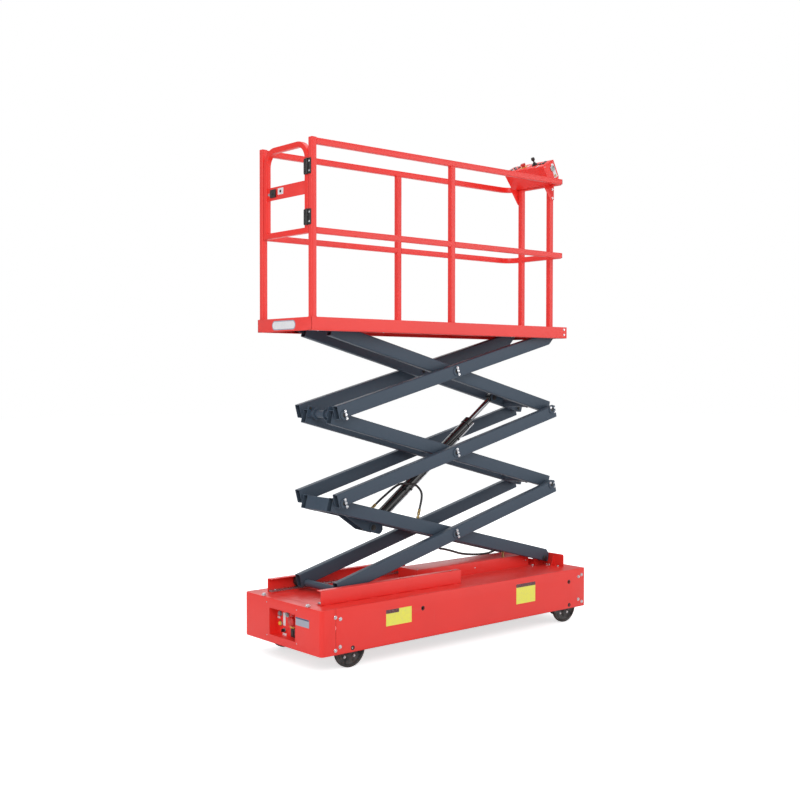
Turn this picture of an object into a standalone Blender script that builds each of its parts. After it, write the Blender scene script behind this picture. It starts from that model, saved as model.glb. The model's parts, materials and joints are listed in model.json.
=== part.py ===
"""A battery scissor lift that rolls on a pair of pipe rails, resting with its platform about half raised.

Metres, +Z up. +X is the end with the platform's control console, -X the end with the gate. The origin is on
the ground under the middle of the chassis. Each body that moves has an empty on its joint's axis, and the
pieces of that body are its children. An arm is modelled along its own X axis, and its empty tilts it.
"""

from math import asin, cos, pi, radians, sin

import bmesh
import bpy
from mathutils import Matrix, Vector

# ---------------------------------------------------------------- driving dimensions
GAP = 0.0003  # between pieces that touch
SIDES = {"near": -1, "far": 1}  # the side at -Y and the side at +Y

# Scissor linkage
STAGES = 3
ARM_PITCH = 2.047  # pin to pin
REST_ANGLE = radians(16.0)
ARM_HEIGHT = 0.090
ARM_WIDTH = 0.050
ARM_WALL = 0.005
ARM_GAP = 0.017  # between an inner arm and its outer arm
ARM_OVERHANG = 0.040  # arm beyond its end pin
END_PIN_OFFSET = 0.025  # end pins from the tube's middle line, one above it and one below
OUTER_ARM_FACE = 0.231  # outside of the outer arms, from the middle
BASE_PIN_X = 1.070
BASE_PIN_Z = 0.452
PIN_RADIUS = 0.016
PIN_CLEARANCE = 0.0004
SLEEVE_WALL = 0.007
PIN_SIDES = 20
CROSS_TUBE_RADIUS = 0.026
RIGHT_TUBE_ALONG = 0.150  # cross tube from the right pins

# Lift cylinder, on the middle plane. Its pins are placed along an inner arm, from the arm's left pin or right
# pin, and above the arm's middle line.
BARREL_PIN_FROM_LEFT, BARREL_PIN_ABOVE = 0.427, -0.092
ROD_PIN_ALONG, ROD_PIN_ABOVE = 0.424, -0.029
BARREL_RADIUS = 0.0325
ROD_SHOWN = 0.2716  # gland to the rod's pin at rest
GLAND_RADIUS = 0.0365
GLAND_LENGTH = 0.060
ROD_RADIUS = 0.0175
ROD_INSIDE = 0.420  # rod inside the barrel at rest
BARREL_BORE_DEPTH = 0.720
BARREL_LUG = (  # the outlines of both mounts are from their pins, along the arm and across it
    (-0.265, 0.062),
    (-0.260, 0.032),
    (-0.070, -0.033),
    (0.075, -0.033),
    (0.090, 0.002),
    (0.070, 0.052),
)
BARREL_MOUNT_BAR = ((-0.270, -0.100), (0.048, 0.062))
ROD_LUG = (
    (-0.031, -0.001),
    (-0.016, -0.031),
    (0.019, -0.031),
    (0.124, 0.019),
    (0.174, 0.089),
    (0.154, 0.101),
    (0.094, 0.079),
    (-0.026, 0.029),
)
ROD_MOUNT_TUBE = (0.094, 0.039)
EYE_RADIUS = 0.034
EYE_WIDTH = 0.040
LUG_PLATE = 0.008
LUG_CLEARANCE = 0.006  # between the eye and each lug
BARREL_LUG_CLEARANCE = 0.009  # between the barrel and each lug
RETURN_PIPE_RADIUS = 0.007
PORT_LENGTH = 0.045  # the hose port, from its boss to the hose
PORT_BOSS_RADIUS = 0.014

# Chassis
CHASSIS_LENGTH = 2.447
CHASSIS_WIDTH = 0.848
CHASSIS_BOTTOM = 0.113
CHASSIS_TOP = 0.398
SHEET = 0.003
COVER_RETURN = 0.1115  # front cover's sides, from the front face
COVER_CORNER = 0.026
FRAME_BAR = 0.050
FRAME_RAIL_Y = 0.195
FRAME_RAIL_Z = 0.175
CROSS_MEMBER_XS = (-1.125, -0.700, 0.050, 0.800)
PACK_X = (-0.350, 0.720)
PACK_HALF_WIDTH = 0.150
PACK_TOP = 0.370
CENTRE_COVER_X = (-0.160, 0.960)
CENTRE_COVER_CLEARANCE = 0.014  # between the cover and each inner arm
CENTRE_COVER_TOP = 0.487

# Control recess in the front cover
RECESS_Y = (-0.152, 0.137)
RECESS_Z = (0.162, 0.338)
RECESS_DEPTH = 0.060
STOP_BUTTON_Y, STOP_BUTTON_Z = -0.054, 0.270
STOP_BUTTON_RADIUS = 0.030
STOP_BUTTON_LENGTH = 0.034

# Roller tracks on the chassis
TRACK_X = (-1.130, 0.071)
TRACK_OUTER_Y = 0.2955
TRACK_HEIGHT = 0.094
TRACK_FLANGE = 0.045
TRACK_WALL = 0.005
ROLLER_WIDTH = 0.028
ROLLER_CLEARANCE = 0.0008
ROLLER_SIDES = 28

# Hinge brackets at the base
BRACKET_PLATE = 0.006
BRACKET_END_X = 1.130
BRACKET_TOP = 0.488
BRACKET_EDGE_Y = 0.298
CHEEK_PLATE = 0.010
CHEEK_CLEARANCE = 0.006  # between the cheek and the inner arm
CHEEK_REACH = 0.045  # cheek on the other side of the base pins

# Wheels: a large disc for the ground and a small drum for the pipe
WHEEL_RADIUS = 0.120
WHEEL_XS = {"front": -0.950, "rear": 1.075}
WHEEL_SIDES = 36
DISC_Y = (0.336, 0.362)
DRUM_RADIUS = 0.060
DRUM_Y = (0.262, 0.336)
INNER_FLANGE_RADIUS = 0.078
INNER_FLANGE_WIDTH = 0.010
AXLE_RADIUS = 0.0150
BEARING_CLEARANCE = 0.0006

# Platform
PLATFORM_X = (-1.202, 1.163)
PLATFORM_WIDTH = 0.5946
FLOOR_OVER_PIN = 0.05031  # platform's upper edge above the top pins
FASCIA_HEIGHT = 0.0835
BEAM_WALL = 0.004
BEAM_FLANGE = 0.046
FLOOR_PLATE = 0.003
FLOOR_DROP = 0.0005  # floor plate under the frame's upper edge
END_PLATE_LENGTH = 0.041
CROSS_RIB_HEIGHT = 0.025
CROSS_RIB_WIDTH = 0.030
CROSS_RIB_XS = (-0.430, 0.030, 0.500)
POST_NOTCH = 0.002  # between a post and the floor plate around it
TOP_LUG_PLATE = 0.008

# Guard rails
TUBE = 0.038  # square tube
RAIL_HEIGHT = 1.103  # this and the heights below are above the platform's upper edge
MID_RAIL_HEIGHT = 0.554
POST_FACE_Y = {"near": 0.2855, "far": 0.2925}  # outside of the posts and rails
LEFT_POST_X = -1.1725
MIDDLE_POST_X = {"near": 0.003, "far": -0.018}
RAIL_END_X = 1.120
END_RAIL_X = 1.1305  # middle of the rails across the console end
RAIL_BEND = 0.100  # radius of the bend, at the tube's middle
BEND_STEPS = 6
CONSOLE_POST_Y = {"near": -0.150, "far": 0.140}

# Gate
GATE_TUBE = 0.035  # square tube
GATE_CLEARANCE = 0.007
GATE_Z = (0.519, 1.097)
GATE_BEND = 0.100
GATE_PLATE_Z = (0.764, 0.848)
GATE_PLATE = 0.006
HINGE_ZS = {"top": 0.928, "bottom": 0.616}
HINGE_HEIGHT = 0.098
HINGE_LEAF = 0.004
HINGE_REACH = 0.036
KNUCKLE_RADIUS = 0.007
LATCH_Y = (0.179, 0.123)
LATCH_DEPTH = 0.012
LATCH_HEIGHT = 0.052

# Console: its side outline as (x, z) points, and its width. Its underside is also notched over the end rail.
CONSOLE_UNDERSIDE = 1.075
CONSOLE_OUTLINE = (
    (1.162, CONSOLE_UNDERSIDE),
    (1.174, 1.141),
    (1.112, 1.262),
    (0.990, 1.197),
    (1.090, CONSOLE_UNDERSIDE),
)
CONSOLE_CLEARANCE = 0.0006  # console around the end rail
CONSOLE_HALF_WIDTH = 0.200
CONSOLE_PLATE = 0.005
BRACKET_REACH = 0.085  # bracket from the post toward the operator
BRACKET_FOOT = 0.961
JOYSTICK_Y = -0.070
JOYSTICK_LENGTH = 0.062
CONSOLE_STOP_Y = 0.045

# Hydraulic hoses: the free points between their ends, as (x, y, z). Each ends on the lowest near inner arm,
# at a distance along it from its right pin.
HOSE_RADIUS = 0.0078
HOSE_LEAD = 0.024  # straight length at each end
UPPER_HOSE_START = (-0.472, 0.0, 0.941)
UPPER_HOSE_MIDDLE = (
    (-0.402, -0.030, 1.010),
    (-0.312, -0.078, 1.088),
    (-0.216, -0.096, 1.088),
    (-0.176, -0.108, 1.076),
    (-0.146, -0.122, 1.036),
    (-0.150, -0.134, 0.990),
)
UPPER_FITTING_ALONG, UPPER_FITTING_LENGTH = 1.321, 0.040
LOWER_FITTING_ALONG, LOWER_FITTING_LENGTH = 1.080, 0.030
LOWER_HOSE_MIDDLE = (
    (0.045, -0.132, 0.634),
    (0.140, -0.115, 0.597),
    (0.270, -0.100, 0.560),
    (0.420, -0.088, 0.538),
    (0.560, -0.082, 0.532),
    (0.650, -0.080, 0.545),
    (0.693, -0.080, 0.535),
)
LOWER_HOSE_END = (0.707, -0.080, 0.503)
FITTING_RADIUS = 0.010

# ---------------------------------------------------------------- derived places
ARM_HALF = ARM_HEIGHT / 2
OUTER_ARM_Y = (OUTER_ARM_FACE - ARM_WIDTH, OUTER_ARM_FACE)
INNER_ARM_Y = (OUTER_ARM_Y[0] - ARM_GAP - ARM_WIDTH, OUTER_ARM_Y[0] - ARM_GAP)
STAGE_RISE = ARM_PITCH * sin(REST_ANGLE)
ARM_RUN = ARM_PITCH * cos(REST_ANGLE)
ARM_TILT = asin(2 * END_PIN_OFFSET / ARM_PITCH)  # of a tube against the line of its pins
LEFT_PIN_X = BASE_PIN_X - ARM_RUN
TOP_PIN_Z = BASE_PIN_Z + STAGES * STAGE_RISE
BARREL_PIN_ALONG = ARM_PITCH - BARREL_PIN_FROM_LEFT
SIDE_Y = CHASSIS_WIDTH / 2
FRONT_X = -CHASSIS_LENGTH / 2
REAR_X = CHASSIS_LENGTH / 2
TRACK_BOTTOM = CHASSIS_TOP + GAP
TRACK_TOP = TRACK_BOTTOM + TRACK_HEIGHT
BASE_ROLLER_RADIUS = TRACK_TOP - TRACK_WALL - ROLLER_CLEARANCE - BASE_PIN_Z
WEAR_STRIP_TOP = BASE_PIN_Z - BASE_ROLLER_RADIUS - ROLLER_CLEARANCE
ROLLER_Y = TRACK_OUTER_Y - TRACK_WALL - 0.004 - ROLLER_WIDTH / 2
PLATFORM_Y = PLATFORM_WIDTH / 2
PLATFORM_TOP = TOP_PIN_Z + FLOOR_OVER_PIN
PLATFORM_BOTTOM = PLATFORM_TOP - FASCIA_HEIGHT
TOP_ROLLER_RADIUS = TOP_PIN_Z - (PLATFORM_BOTTOM + BEAM_WALL) - ROLLER_CLEARANCE
FLOOR_UNDER = PLATFORM_TOP - FLOOR_PLATE
RAIL_TOP = PLATFORM_TOP + RAIL_HEIGHT

HEEL_CUT = (0.035, 0.030)  # upper corner at the lowest inner arm's right end: along the arm, across it

COLOURS = {  # name: (red, green, blue), roughness, metallic
    "red_paint": ((0.78, 0.045, 0.035), 0.35, 0.0),
    "grey_paint": ((0.055, 0.070, 0.090), 0.45, 0.0),
    "black_paint": ((0.010, 0.010, 0.011), 0.30, 0.0),
    "steel": ((0.55, 0.55, 0.55), 0.35, 1.0),
    "chrome": ((0.80, 0.80, 0.82), 0.10, 1.0),
    "brass": ((0.60, 0.43, 0.16), 0.35, 1.0),
    "rubber": ((0.012, 0.012, 0.012), 0.70, 0.0),
    "black_plastic": ((0.015, 0.015, 0.016), 0.55, 0.0),
    "red_plastic": ((0.65, 0.020, 0.015), 0.35, 0.0),
    "cast_iron": ((0.060, 0.058, 0.055), 0.65, 0.6),
}


# ---------------------------------------------------------------- shapes
def mesh_of(points, faces):
    """A closed mesh from points and faces, with its faces pointing out."""
    mesh = bpy.data.meshes.new("shape")
    work = bmesh.new()
    corners = [work.verts.new(point) for point in points]
    for face in faces:
        work.faces.new([corners[i] for i in face])
    bmesh.ops.recalc_face_normals(work, faces=work.faces)
    work.to_mesh(mesh)
    work.free()
    return mesh


def prism(outline, low, high, axis="Y"):
    """An outline run along an axis. Its points are (x, z) along Y, (y, z) along X and (x, y) along Z."""
    place = {
        "X": lambda a, b, c: (c, a, b),
        "Y": lambda a, b, c: (a, c, b),
        "Z": lambda a, b, c: (a, b, c),
    }[axis]
    count = len(outline)
    points = [place(a, b, end) for end in (low, high) for a, b in outline]
    faces = [tuple(range(count)), tuple(range(count, 2 * count))]
    faces += [(i, (i + 1) % count, count + (i + 1) % count, count + i) for i in range(count)]
    return mesh_of(points, faces)


def block(x, y, z):
    """A box from three (low, high) pairs, in either order."""
    (x0, x1), (y0, y1), (z0, z1) = sorted(x), sorted(y), sorted(z)
    return prism(((x0, z0), (x1, z0), (x1, z1), (x0, z1)), y0, y1)


def circle(radius, sides, a=0.0, b=0.0):
    """Points round a circle about (a, b)."""
    turns = [2 * pi * i / sides for i in range(sides)]
    return [(a + radius * cos(turn), b + radius * sin(turn)) for turn in turns]


def pin(x, z, radius, y, sides=PIN_SIDES):
    """A round bar along Y."""
    return prism(circle(radius, sides, x, z), min(y), max(y))


def turned(profile, centre, direction, sides):
    """An (along, radius) profile turned about a line through the centre. A radius of 0 is on the line."""
    line = Vector(direction).normalized()
    upright = Vector((0.0, 0.0, 1.0)) if abs(line.z) < 0.99 else Vector((0.0, 1.0, 0.0))
    side = line.cross(upright).normalized()
    other = line.cross(side)
    rings, points = [], []
    for along, radius in profile:
        turns = [2 * pi * i / sides for i in range(sides)] if radius > 0 else [0.0]
        rings.append(range(len(points), len(points) + len(turns)))
        points += [
            Vector(centre) + line * along + (side * cos(turn) + other * sin(turn)) * radius for turn in turns
        ]
    faces = []
    closed = profile[0][1] > 0
    pairs = list(zip(rings, rings[1:])) + ([(rings[-1], rings[0])] if closed else [])
    for one, two in pairs:
        for i in range(sides):
            j = (i + 1) % sides
            corners = [one[i % len(one)], one[j % len(one)], two[j % len(two)], two[i % len(two)]]
            corners = list(dict.fromkeys(corners))
            if len(corners) > 2:
                faces.append(corners)
    return mesh_of(points, faces)


def rod_along(start, line, length, radius, sides):
    """A round bar from a point along a line."""
    return turned([(0.0, 0.0), (0.0, radius), (length, radius), (length, 0.0)], start, line, sides)


def swept(section, path, up, closed=False):
    """A section of (side, up) points run along a path, mitred where the path turns."""
    up = Vector(up)
    path = [Vector(point) for point in path]
    count, ring = len(path), len(section)
    points = []
    for i, place in enumerate(path):
        before = path[i] - path[i - 1] if closed or i > 0 else path[1] - path[0]
        after = path[(i + 1) % count] - path[i] if closed or i < count - 1 else before
        before, after = before.normalized(), after.normalized()
        middle = (before.cross(up) + after.cross(up)).normalized()
        stretch = 1 / middle.dot(after.cross(up).normalized())
        points += [place + middle * (a * stretch) + up * b for a, b in section]
    faces = []
    for i in range(count if closed else count - 1):
        one, two = i * ring, ((i + 1) % count) * ring
        faces += [(one + k, one + (k + 1) % ring, two + (k + 1) % ring, two + k) for k in range(ring)]
    if not closed:
        faces += [tuple(range(ring)), tuple(range((count - 1) * ring, count * ring))]
    return mesh_of(points, faces)


def arc(centre, radius, start, end, steps):
    """Points of an arc in a plane, from one angle to another in degrees."""
    turns = [radians(start + (end - start) * i / steps) for i in range(steps + 1)]
    return [(centre[0] + radius * cos(turn), centre[1] + radius * sin(turn)) for turn in turns]


def combined(base, tools, operation):
    """The mesh that a Boolean makes of the base and each tool in turn."""
    scene = bpy.context.scene.collection
    holders = [bpy.data.objects.new("work", mesh) for mesh in (base, *tools)]
    for holder in holders:
        scene.objects.link(holder)
    for holder in holders[1:]:
        modifier = holders[0].modifiers.new("work", "BOOLEAN")
        modifier.operation = operation
        modifier.solver = "EXACT"
        modifier.object = holder
    graph = bpy.context.evaluated_depsgraph_get()
    made = bpy.data.meshes.new_from_object(holders[0].evaluated_get(graph))
    for holder in holders:
        mesh = holder.data
        bpy.data.objects.remove(holder)
        bpy.data.meshes.remove(mesh)
    return made


def joined(base, *tools):
    return combined(base, tools, "UNION")


def cut(base, *tools):
    return combined(base, tools, "DIFFERENCE")


# ---------------------------------------------------------------- objects
def material(name):
    """The Principled material of one finish."""
    if name in bpy.data.materials:
        return bpy.data.materials[name]
    colour, roughness, metallic = COLOURS[name]
    made = bpy.data.materials.new(name)
    made.use_nodes = True
    shader = made.node_tree.nodes["Principled BSDF"]
    shader.inputs["Base Color"].default_value = (*colour, 1.0)
    shader.inputs["Roughness"].default_value = roughness
    shader.inputs["Metallic"].default_value = metallic
    return made


def body(name, place, tilt=0.0):
    """An empty on a joint's axis, tilted about Y."""
    holder = bpy.data.objects.new(name, None)
    holder.location = place
    holder.rotation_euler = (0.0, tilt, 0.0)
    holder.empty_display_size = 0.1
    bpy.context.scene.collection.objects.link(holder)
    return holder


def part(name, mesh, finish, parent=None, about=(0.0, 0.0, 0.0)):
    """A named object. Its mesh is in the parent's axes, or in the world's with the parent's place given."""
    mesh.name = name
    if any(about):
        mesh.transform(Matrix.Translation(-Vector(about)))
    mesh.materials.clear()
    mesh.materials.append(material(finish))
    mesh.shade_smooth()
    mesh.set_sharp_from_angle(angle=radians(35))
    made = bpy.data.objects.new(name, mesh)
    made.parent = parent
    bpy.context.scene.collection.objects.link(made)
    return made


def hose(name, points, parent=None, about=(0.0, 0.0, 0.0)):
    """A plain tube along a smooth curve through the route's points."""
    route = [Vector(point) - Vector(about) for point in points]
    smooth = smooth_route(route, step=5 * HOSE_RADIUS)
    curve = bpy.data.curves.new(name, "CURVE")
    curve.dimensions = "3D"
    curve.bevel_depth = HOSE_RADIUS
    curve.bevel_resolution = 2
    curve.use_fill_caps = True
    line = curve.splines.new("POLY")
    line.points.add(len(smooth) - 1)
    for point, place in zip(line.points, smooth):
        point.co = (*place, 1.0)
    curve.materials.append(material("rubber"))
    made = bpy.data.objects.new(name, curve)
    made.parent = parent
    bpy.context.scene.collection.objects.link(made)
    return made


def smooth_route(route, step):
    """Points a step apart along a Catmull-Rom curve through the route."""
    ends = [2 * route[0] - route[1], *route, 2 * route[-1] - route[-2]]
    found = [route[0]]
    for i in range(len(route) - 1):
        p0, p1, p2, p3 = ends[i : i + 4]
        pieces = max(1, round((p2 - p1).length / step))
        for k in range(1, pieces + 1):
            t = k / pieces
            found.append(
                0.5
                * (
                    2 * p1
                    + (p2 - p0) * t
                    + (2 * p0 - 5 * p1 + 4 * p2 - p3) * t**2
                    + (3 * p1 - p0 - 3 * p2 + p3) * t**3
                )
            )
    return found


# ---------------------------------------------------------------- chassis
def chassis_frame():
    """Two rails and the cross members between the side panels, with a bearing block over each wheel axle."""
    half = FRAME_BAR / 2
    z = (FRAME_RAIL_Z - half, FRAME_RAIL_Z + half)
    ends = (FRONT_X + SHEET + GAP, REAR_X - SHEET - GAP)
    wide = SIDE_Y - SHEET - GAP
    pieces = [block((x - half, x + half), (-wide, wide), z) for x in CROSS_MEMBER_XS]
    bores = []
    for side in SIDES.values():
        y = (side * FRAME_RAIL_Y - half, side * FRAME_RAIL_Y + half)
        pieces.append(block(ends, y, (z[0] + 0.001, z[1] - 0.001)))
        y = (side * FRAME_RAIL_Y - 0.018, side * FRAME_RAIL_Y + 0.018)
        for x in WHEEL_XS.values():
            pieces.append(block((x - 0.040, x + 0.040), y, (WHEEL_RADIUS - 0.022, z[0] + 0.010)))
    for x in WHEEL_XS.values():
        reach = FRAME_RAIL_Y + FRAME_BAR
        bores.append(pin(x, WHEEL_RADIUS, AXLE_RADIUS + BEARING_CLEARANCE, (-reach, reach)))
    part("chassis_frame", cut(joined(*pieces), *bores), "black_paint")


def front_cover():
    """The front sheet, folded round both corners, with the window of the control recess."""
    side_end = FRONT_X + COVER_RETURN
    outer, inner = [], []
    for outline, shrink in ((outer, 0.0), (inner, SHEET)):
        x, y, radius = FRONT_X + shrink, SIDE_Y - shrink, COVER_CORNER - shrink
        outline.append((side_end, -y))
        outline += reversed(arc((x + radius, -y + radius), radius, 180, 270, 5))
        outline += reversed(arc((x + radius, y - radius), radius, 90, 180, 5))
        outline.append((side_end, y))
    sheet = prism(outer + inner[::-1], CHASSIS_BOTTOM, CHASSIS_TOP, "Z")
    window = block((FRONT_X - SHEET, FRONT_X + 2 * SHEET), RECESS_Y, RECESS_Z)
    part("front_cover", cut(sheet, window), "red_paint")


def rear_cover():
    x = (REAR_X - SHEET, REAR_X)
    y = SIDE_Y - SHEET - GAP
    part("rear_cover", block(x, (-y, y), (CHASSIS_BOTTOM, CHASSIS_TOP)), "red_paint")


def side_panel(name, side):
    x = (FRONT_X + COVER_RETURN + GAP, REAR_X)
    y = (side * (SIDE_Y - SHEET), side * SIDE_Y)
    part(f"side_panel_{name}", block(x, y, (CHASSIS_BOTTOM, CHASSIS_TOP)), "red_paint")


def deck_plate():
    x = (FRONT_X + SHEET + GAP, REAR_X - SHEET - GAP)
    y = SIDE_Y - SHEET - GAP
    corner = COVER_CORNER
    outline = [
        (x[0] + corner, -y),
        (x[1], -y),
        (x[1], y),
        (x[0] + corner, y),
        (x[0], y - corner),
        (x[0], -y + corner),
    ]
    part("deck_plate", prism(outline, CHASSIS_TOP - SHEET, CHASSIS_TOP, "Z"), "red_paint")


def power_pack():
    z = (FRAME_RAIL_Z + FRAME_BAR / 2 + GAP, PACK_TOP)
    part("power_pack", block(PACK_X, (-PACK_HALF_WIDTH, PACK_HALF_WIDTH), z), "black_plastic")


def control_recess():
    """A tray behind the front cover's window: a back plate and four walls."""
    x = (FRONT_X + SHEET + GAP, FRONT_X + RECESS_DEPTH + SHEET)
    y = (RECESS_Y[0] - SHEET, RECESS_Y[1] + SHEET)
    z = (RECESS_Z[0] - SHEET, RECESS_Z[1] + SHEET)
    hollow = block((FRONT_X - SHEET, FRONT_X + RECESS_DEPTH), RECESS_Y, RECESS_Z)
    part("control_recess", cut(block(x, y, z), hollow), "red_paint")
    base = (FRONT_X + RECESS_DEPTH - GAP, STOP_BUTTON_Y, STOP_BUTTON_Z)
    stem = STOP_BUTTON_RADIUS * 0.55
    profile = [
        (0.0, 0.0),
        (0.0, stem),
        (STOP_BUTTON_LENGTH * 0.5, stem),
        (STOP_BUTTON_LENGTH * 0.55, STOP_BUTTON_RADIUS),
        (STOP_BUTTON_LENGTH * 0.85, STOP_BUTTON_RADIUS),
        (STOP_BUTTON_LENGTH, STOP_BUTTON_RADIUS * 0.7),
        (STOP_BUTTON_LENGTH, 0.0),
    ]
    part("ground_stop_button", turned(profile, base, (-1, 0, 0), 20), "red_plastic")


def roller_track(name, side):
    """A channel that is open towards the middle, with the strip that its roller runs on."""
    outer = side * TRACK_OUTER_Y
    inner = side * (TRACK_OUTER_Y - TRACK_FLANGE)
    web = side * (TRACK_OUTER_Y - TRACK_WALL)
    outline = [
        (outer, TRACK_BOTTOM),
        (inner, TRACK_BOTTOM),
        (inner, WEAR_STRIP_TOP),
        (web, WEAR_STRIP_TOP),
        (web, TRACK_TOP - TRACK_WALL),
        (inner, TRACK_TOP - TRACK_WALL),
        (inner, TRACK_TOP),
        (outer, TRACK_TOP),
    ]
    part(f"roller_track_{name}", prism(outline, *TRACK_X, "X"), "red_paint")


def centre_cover():
    """The raised cover along the middle of the deck, with a rounded edge along each side."""
    y, z, edge = INNER_ARM_Y[0] - CENTRE_COVER_CLEARANCE, CENTRE_COVER_TOP, 0.008
    low = CHASSIS_TOP + GAP
    outline = [(-y, low), (y, low), (y, z - edge), (y - edge, z), (-y + edge, z), (-y, z - edge)]
    part("centre_cover", prism(outline, *CENTRE_COVER_X, "X"), "red_paint")


def base_bracket(name, side):
    """A cheek inside the inner arm and a plate across behind it, with the bore of the base shaft."""
    cheek_face = INNER_ARM_Y[0] - CHEEK_CLEARANCE
    cheek_y = (side * (cheek_face - CHEEK_PLATE), side * cheek_face)
    z = (CHASSIS_TOP + GAP, BRACKET_TOP)
    plate_x = (BRACKET_END_X, BRACKET_END_X + BRACKET_PLATE)
    cheek = block((BASE_PIN_X - CHEEK_REACH, plate_x[1]), cheek_y, z)
    plate = block(plate_x, (side * (cheek_face - CHEEK_PLATE / 2), side * BRACKET_EDGE_Y), z)
    bore = pin(BASE_PIN_X, BASE_PIN_Z, PIN_RADIUS + GAP, (0.0, side * INNER_ARM_Y[1]))
    part(f"base_bracket_{name}", cut(joined(cheek, plate), bore), "red_paint")


def base_shaft():
    """The shaft of the base hinge, with a shallow head outside each inner arm."""
    end = INNER_ARM_Y[1] + 0.002
    profile = [
        (-end - 0.006, 0.0),
        (-end - 0.006, PIN_RADIUS + 0.006),
        (-end, PIN_RADIUS + 0.006),
        (-end, PIN_RADIUS),
        (end, PIN_RADIUS),
        (end, PIN_RADIUS + 0.006),
        (end + 0.006, PIN_RADIUS + 0.006),
        (end + 0.006, 0.0),
    ]
    part("base_shaft", turned(profile, (BASE_PIN_X, 0, BASE_PIN_Z), (0, 1, 0), PIN_SIDES), "steel")


# ---------------------------------------------------------------- wheels
def wheel_set(name):
    """An axle and its wheels: each a drum for the pipe, and a disc that guides it and meets the ground."""
    x = WHEEL_XS[name]
    centre = (x, 0.0, WHEEL_RADIUS)
    holder = body(f"{name}_axle_body", centre)
    end = DISC_Y[1] - 0.004
    axle = pin(x, WHEEL_RADIUS, AXLE_RADIUS, (-end, end))
    part(f"{name}_axle", axle, "steel", holder, centre)
    bore = AXLE_RADIUS + GAP
    inside, outside = DISC_Y
    rim = 0.014  # width of the raised rim, and of the step from it to the web
    web = outside - 0.009
    profile = [
        (DRUM_Y[0], bore),
        (DRUM_Y[0], INNER_FLANGE_RADIUS),
        (DRUM_Y[0] + INNER_FLANGE_WIDTH, INNER_FLANGE_RADIUS),
        (DRUM_Y[0] + INNER_FLANGE_WIDTH + 0.012, DRUM_RADIUS),
        (inside - 0.010, DRUM_RADIUS),
        (inside, DRUM_RADIUS + 0.018),
        (inside, WHEEL_RADIUS - 0.004),
        (inside + 0.006, WHEEL_RADIUS),
        (outside - 0.004, WHEEL_RADIUS),
        (outside, WHEEL_RADIUS - 0.004),
        (outside, WHEEL_RADIUS - rim),
        (web, WHEEL_RADIUS - rim - 0.005),
        (web, 0.036),
        (outside, 0.032),
        (outside, bore),
    ]
    for side_name, side in SIDES.items():
        wheel = turned(profile, centre, (0, side, 0), WHEEL_SIDES)
        part(f"{name}_wheel_{side_name}", wheel, "cast_iron", holder, centre)


# ---------------------------------------------------------------- scissor arms
def tilted(mesh, middle, angle):
    """The mesh turned about an arm's middle pin."""
    there = Matrix.Translation((middle, 0.0, 0.0))
    mesh.transform(there @ Matrix.Rotation(angle, 4, "Y") @ there.inverted())
    return mesh


def arm_shell(left, right, y, heel=(0.0, 0.0)):
    """A rectangular tube along X with open ends. heel cuts off its upper right corner: (along, across)."""
    low, high = min(y), max(y)
    outline = [(left, -ARM_HALF), (right, -ARM_HALF), (right, ARM_HALF - heel[1])]
    if heel[0]:
        outline.append((right - heel[0], ARM_HALF))
    outline.append((left, ARM_HALF))
    hollow = block(
        (left - ARM_WALL, right + ARM_WALL),
        (low + ARM_WALL, high - ARM_WALL),
        (-ARM_HALF + ARM_WALL, ARM_HALF - ARM_WALL),
    )
    return cut(prism(outline, low, high), hollow)


def sleeves(places, y, inset=0.0015):
    """Round tubes across an arm, just inside its faces."""
    low, high = sorted(y)
    radius = PIN_RADIUS + PIN_CLEARANCE + SLEEVE_WALL
    return [pin(x, 0.0, radius, (low + inset, high - inset)) for x in places]


def inner_frame(stage, holder):
    """Two inner arms, welded together by cross pieces. Its origin is at the right pins."""
    left, right = -ARM_PITCH - ARM_OVERHANG, ARM_OVERHANG
    heel = HEEL_CUT if stage == 1 else (0.0, 0.0)
    pieces = []
    for side in SIDES.values():
        y = (side * INNER_ARM_Y[0], side * INNER_ARM_Y[1])
        tube = tilted(arm_shell(left, right, y, heel), -ARM_PITCH / 2, -ARM_TILT)
        arm = joined(tube, *sleeves((-ARM_PITCH, -ARM_PITCH / 2, 0.0), y))
        closed_end = side * (INNER_ARM_Y[0] + 0.003)
        open_end = side * (INNER_ARM_Y[1] + 0.01)
        bores = []
        for x in (-ARM_PITCH, -ARM_PITCH / 2, 0.0):
            through = (stage == 1 and x == 0.0) or (stage == STAGES and x == -ARM_PITCH)
            y = (side * 0.05 if through else closed_end, open_end)
            bores.append(pin(x, 0.0, PIN_RADIUS + PIN_CLEARANCE, y))
        pieces.append(cut(arm, *bores))
    across = {1: barrel_mount, 2: left_cross_tube, 3: rod_mount}[stage](INNER_ARM_Y[0] + 0.002)
    part(f"inner_frame_{stage}", joined(*pieces, *across), "grey_paint", holder)


def left_cross_tube(reach):
    """The plain tube of the middle frame at its left pins, and one near its right pins."""
    return [
        pin(-ARM_PITCH, 0.0, CROSS_TUBE_RADIUS, (-reach, reach)),
        pin(-RIGHT_TUBE_ALONG, 0.0, CROSS_TUBE_RADIUS, (-reach, reach)),
    ]


def barrel_mount(reach):
    """The box across the left end of the lowest frame, and the plates that hold the cylinder's lower pin."""
    left = -ARM_PITCH - ARM_OVERHANG
    box = block((left, left + 0.090), (-reach, reach), (-ARM_HALF, ARM_HALF - 0.002))
    box = tilted(box, -ARM_PITCH / 2, -ARM_TILT)
    (start, end), (low, high) = BARREL_MOUNT_BAR
    x, z = -BARREL_PIN_ALONG, BARREL_PIN_ABOVE
    bar = block((x + start, x + end), (-reach, reach), (z + low, z + high))
    lug = BARREL_RADIUS + BARREL_LUG_CLEARANCE
    outline = [(x + a, z + b) for a, b in BARREL_LUG]
    pieces = [box, bar]
    for side in SIDES.values():
        pieces.append(prism(outline, *sorted((side * lug, side * (lug + LUG_PLATE)))))
    return pieces


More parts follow.
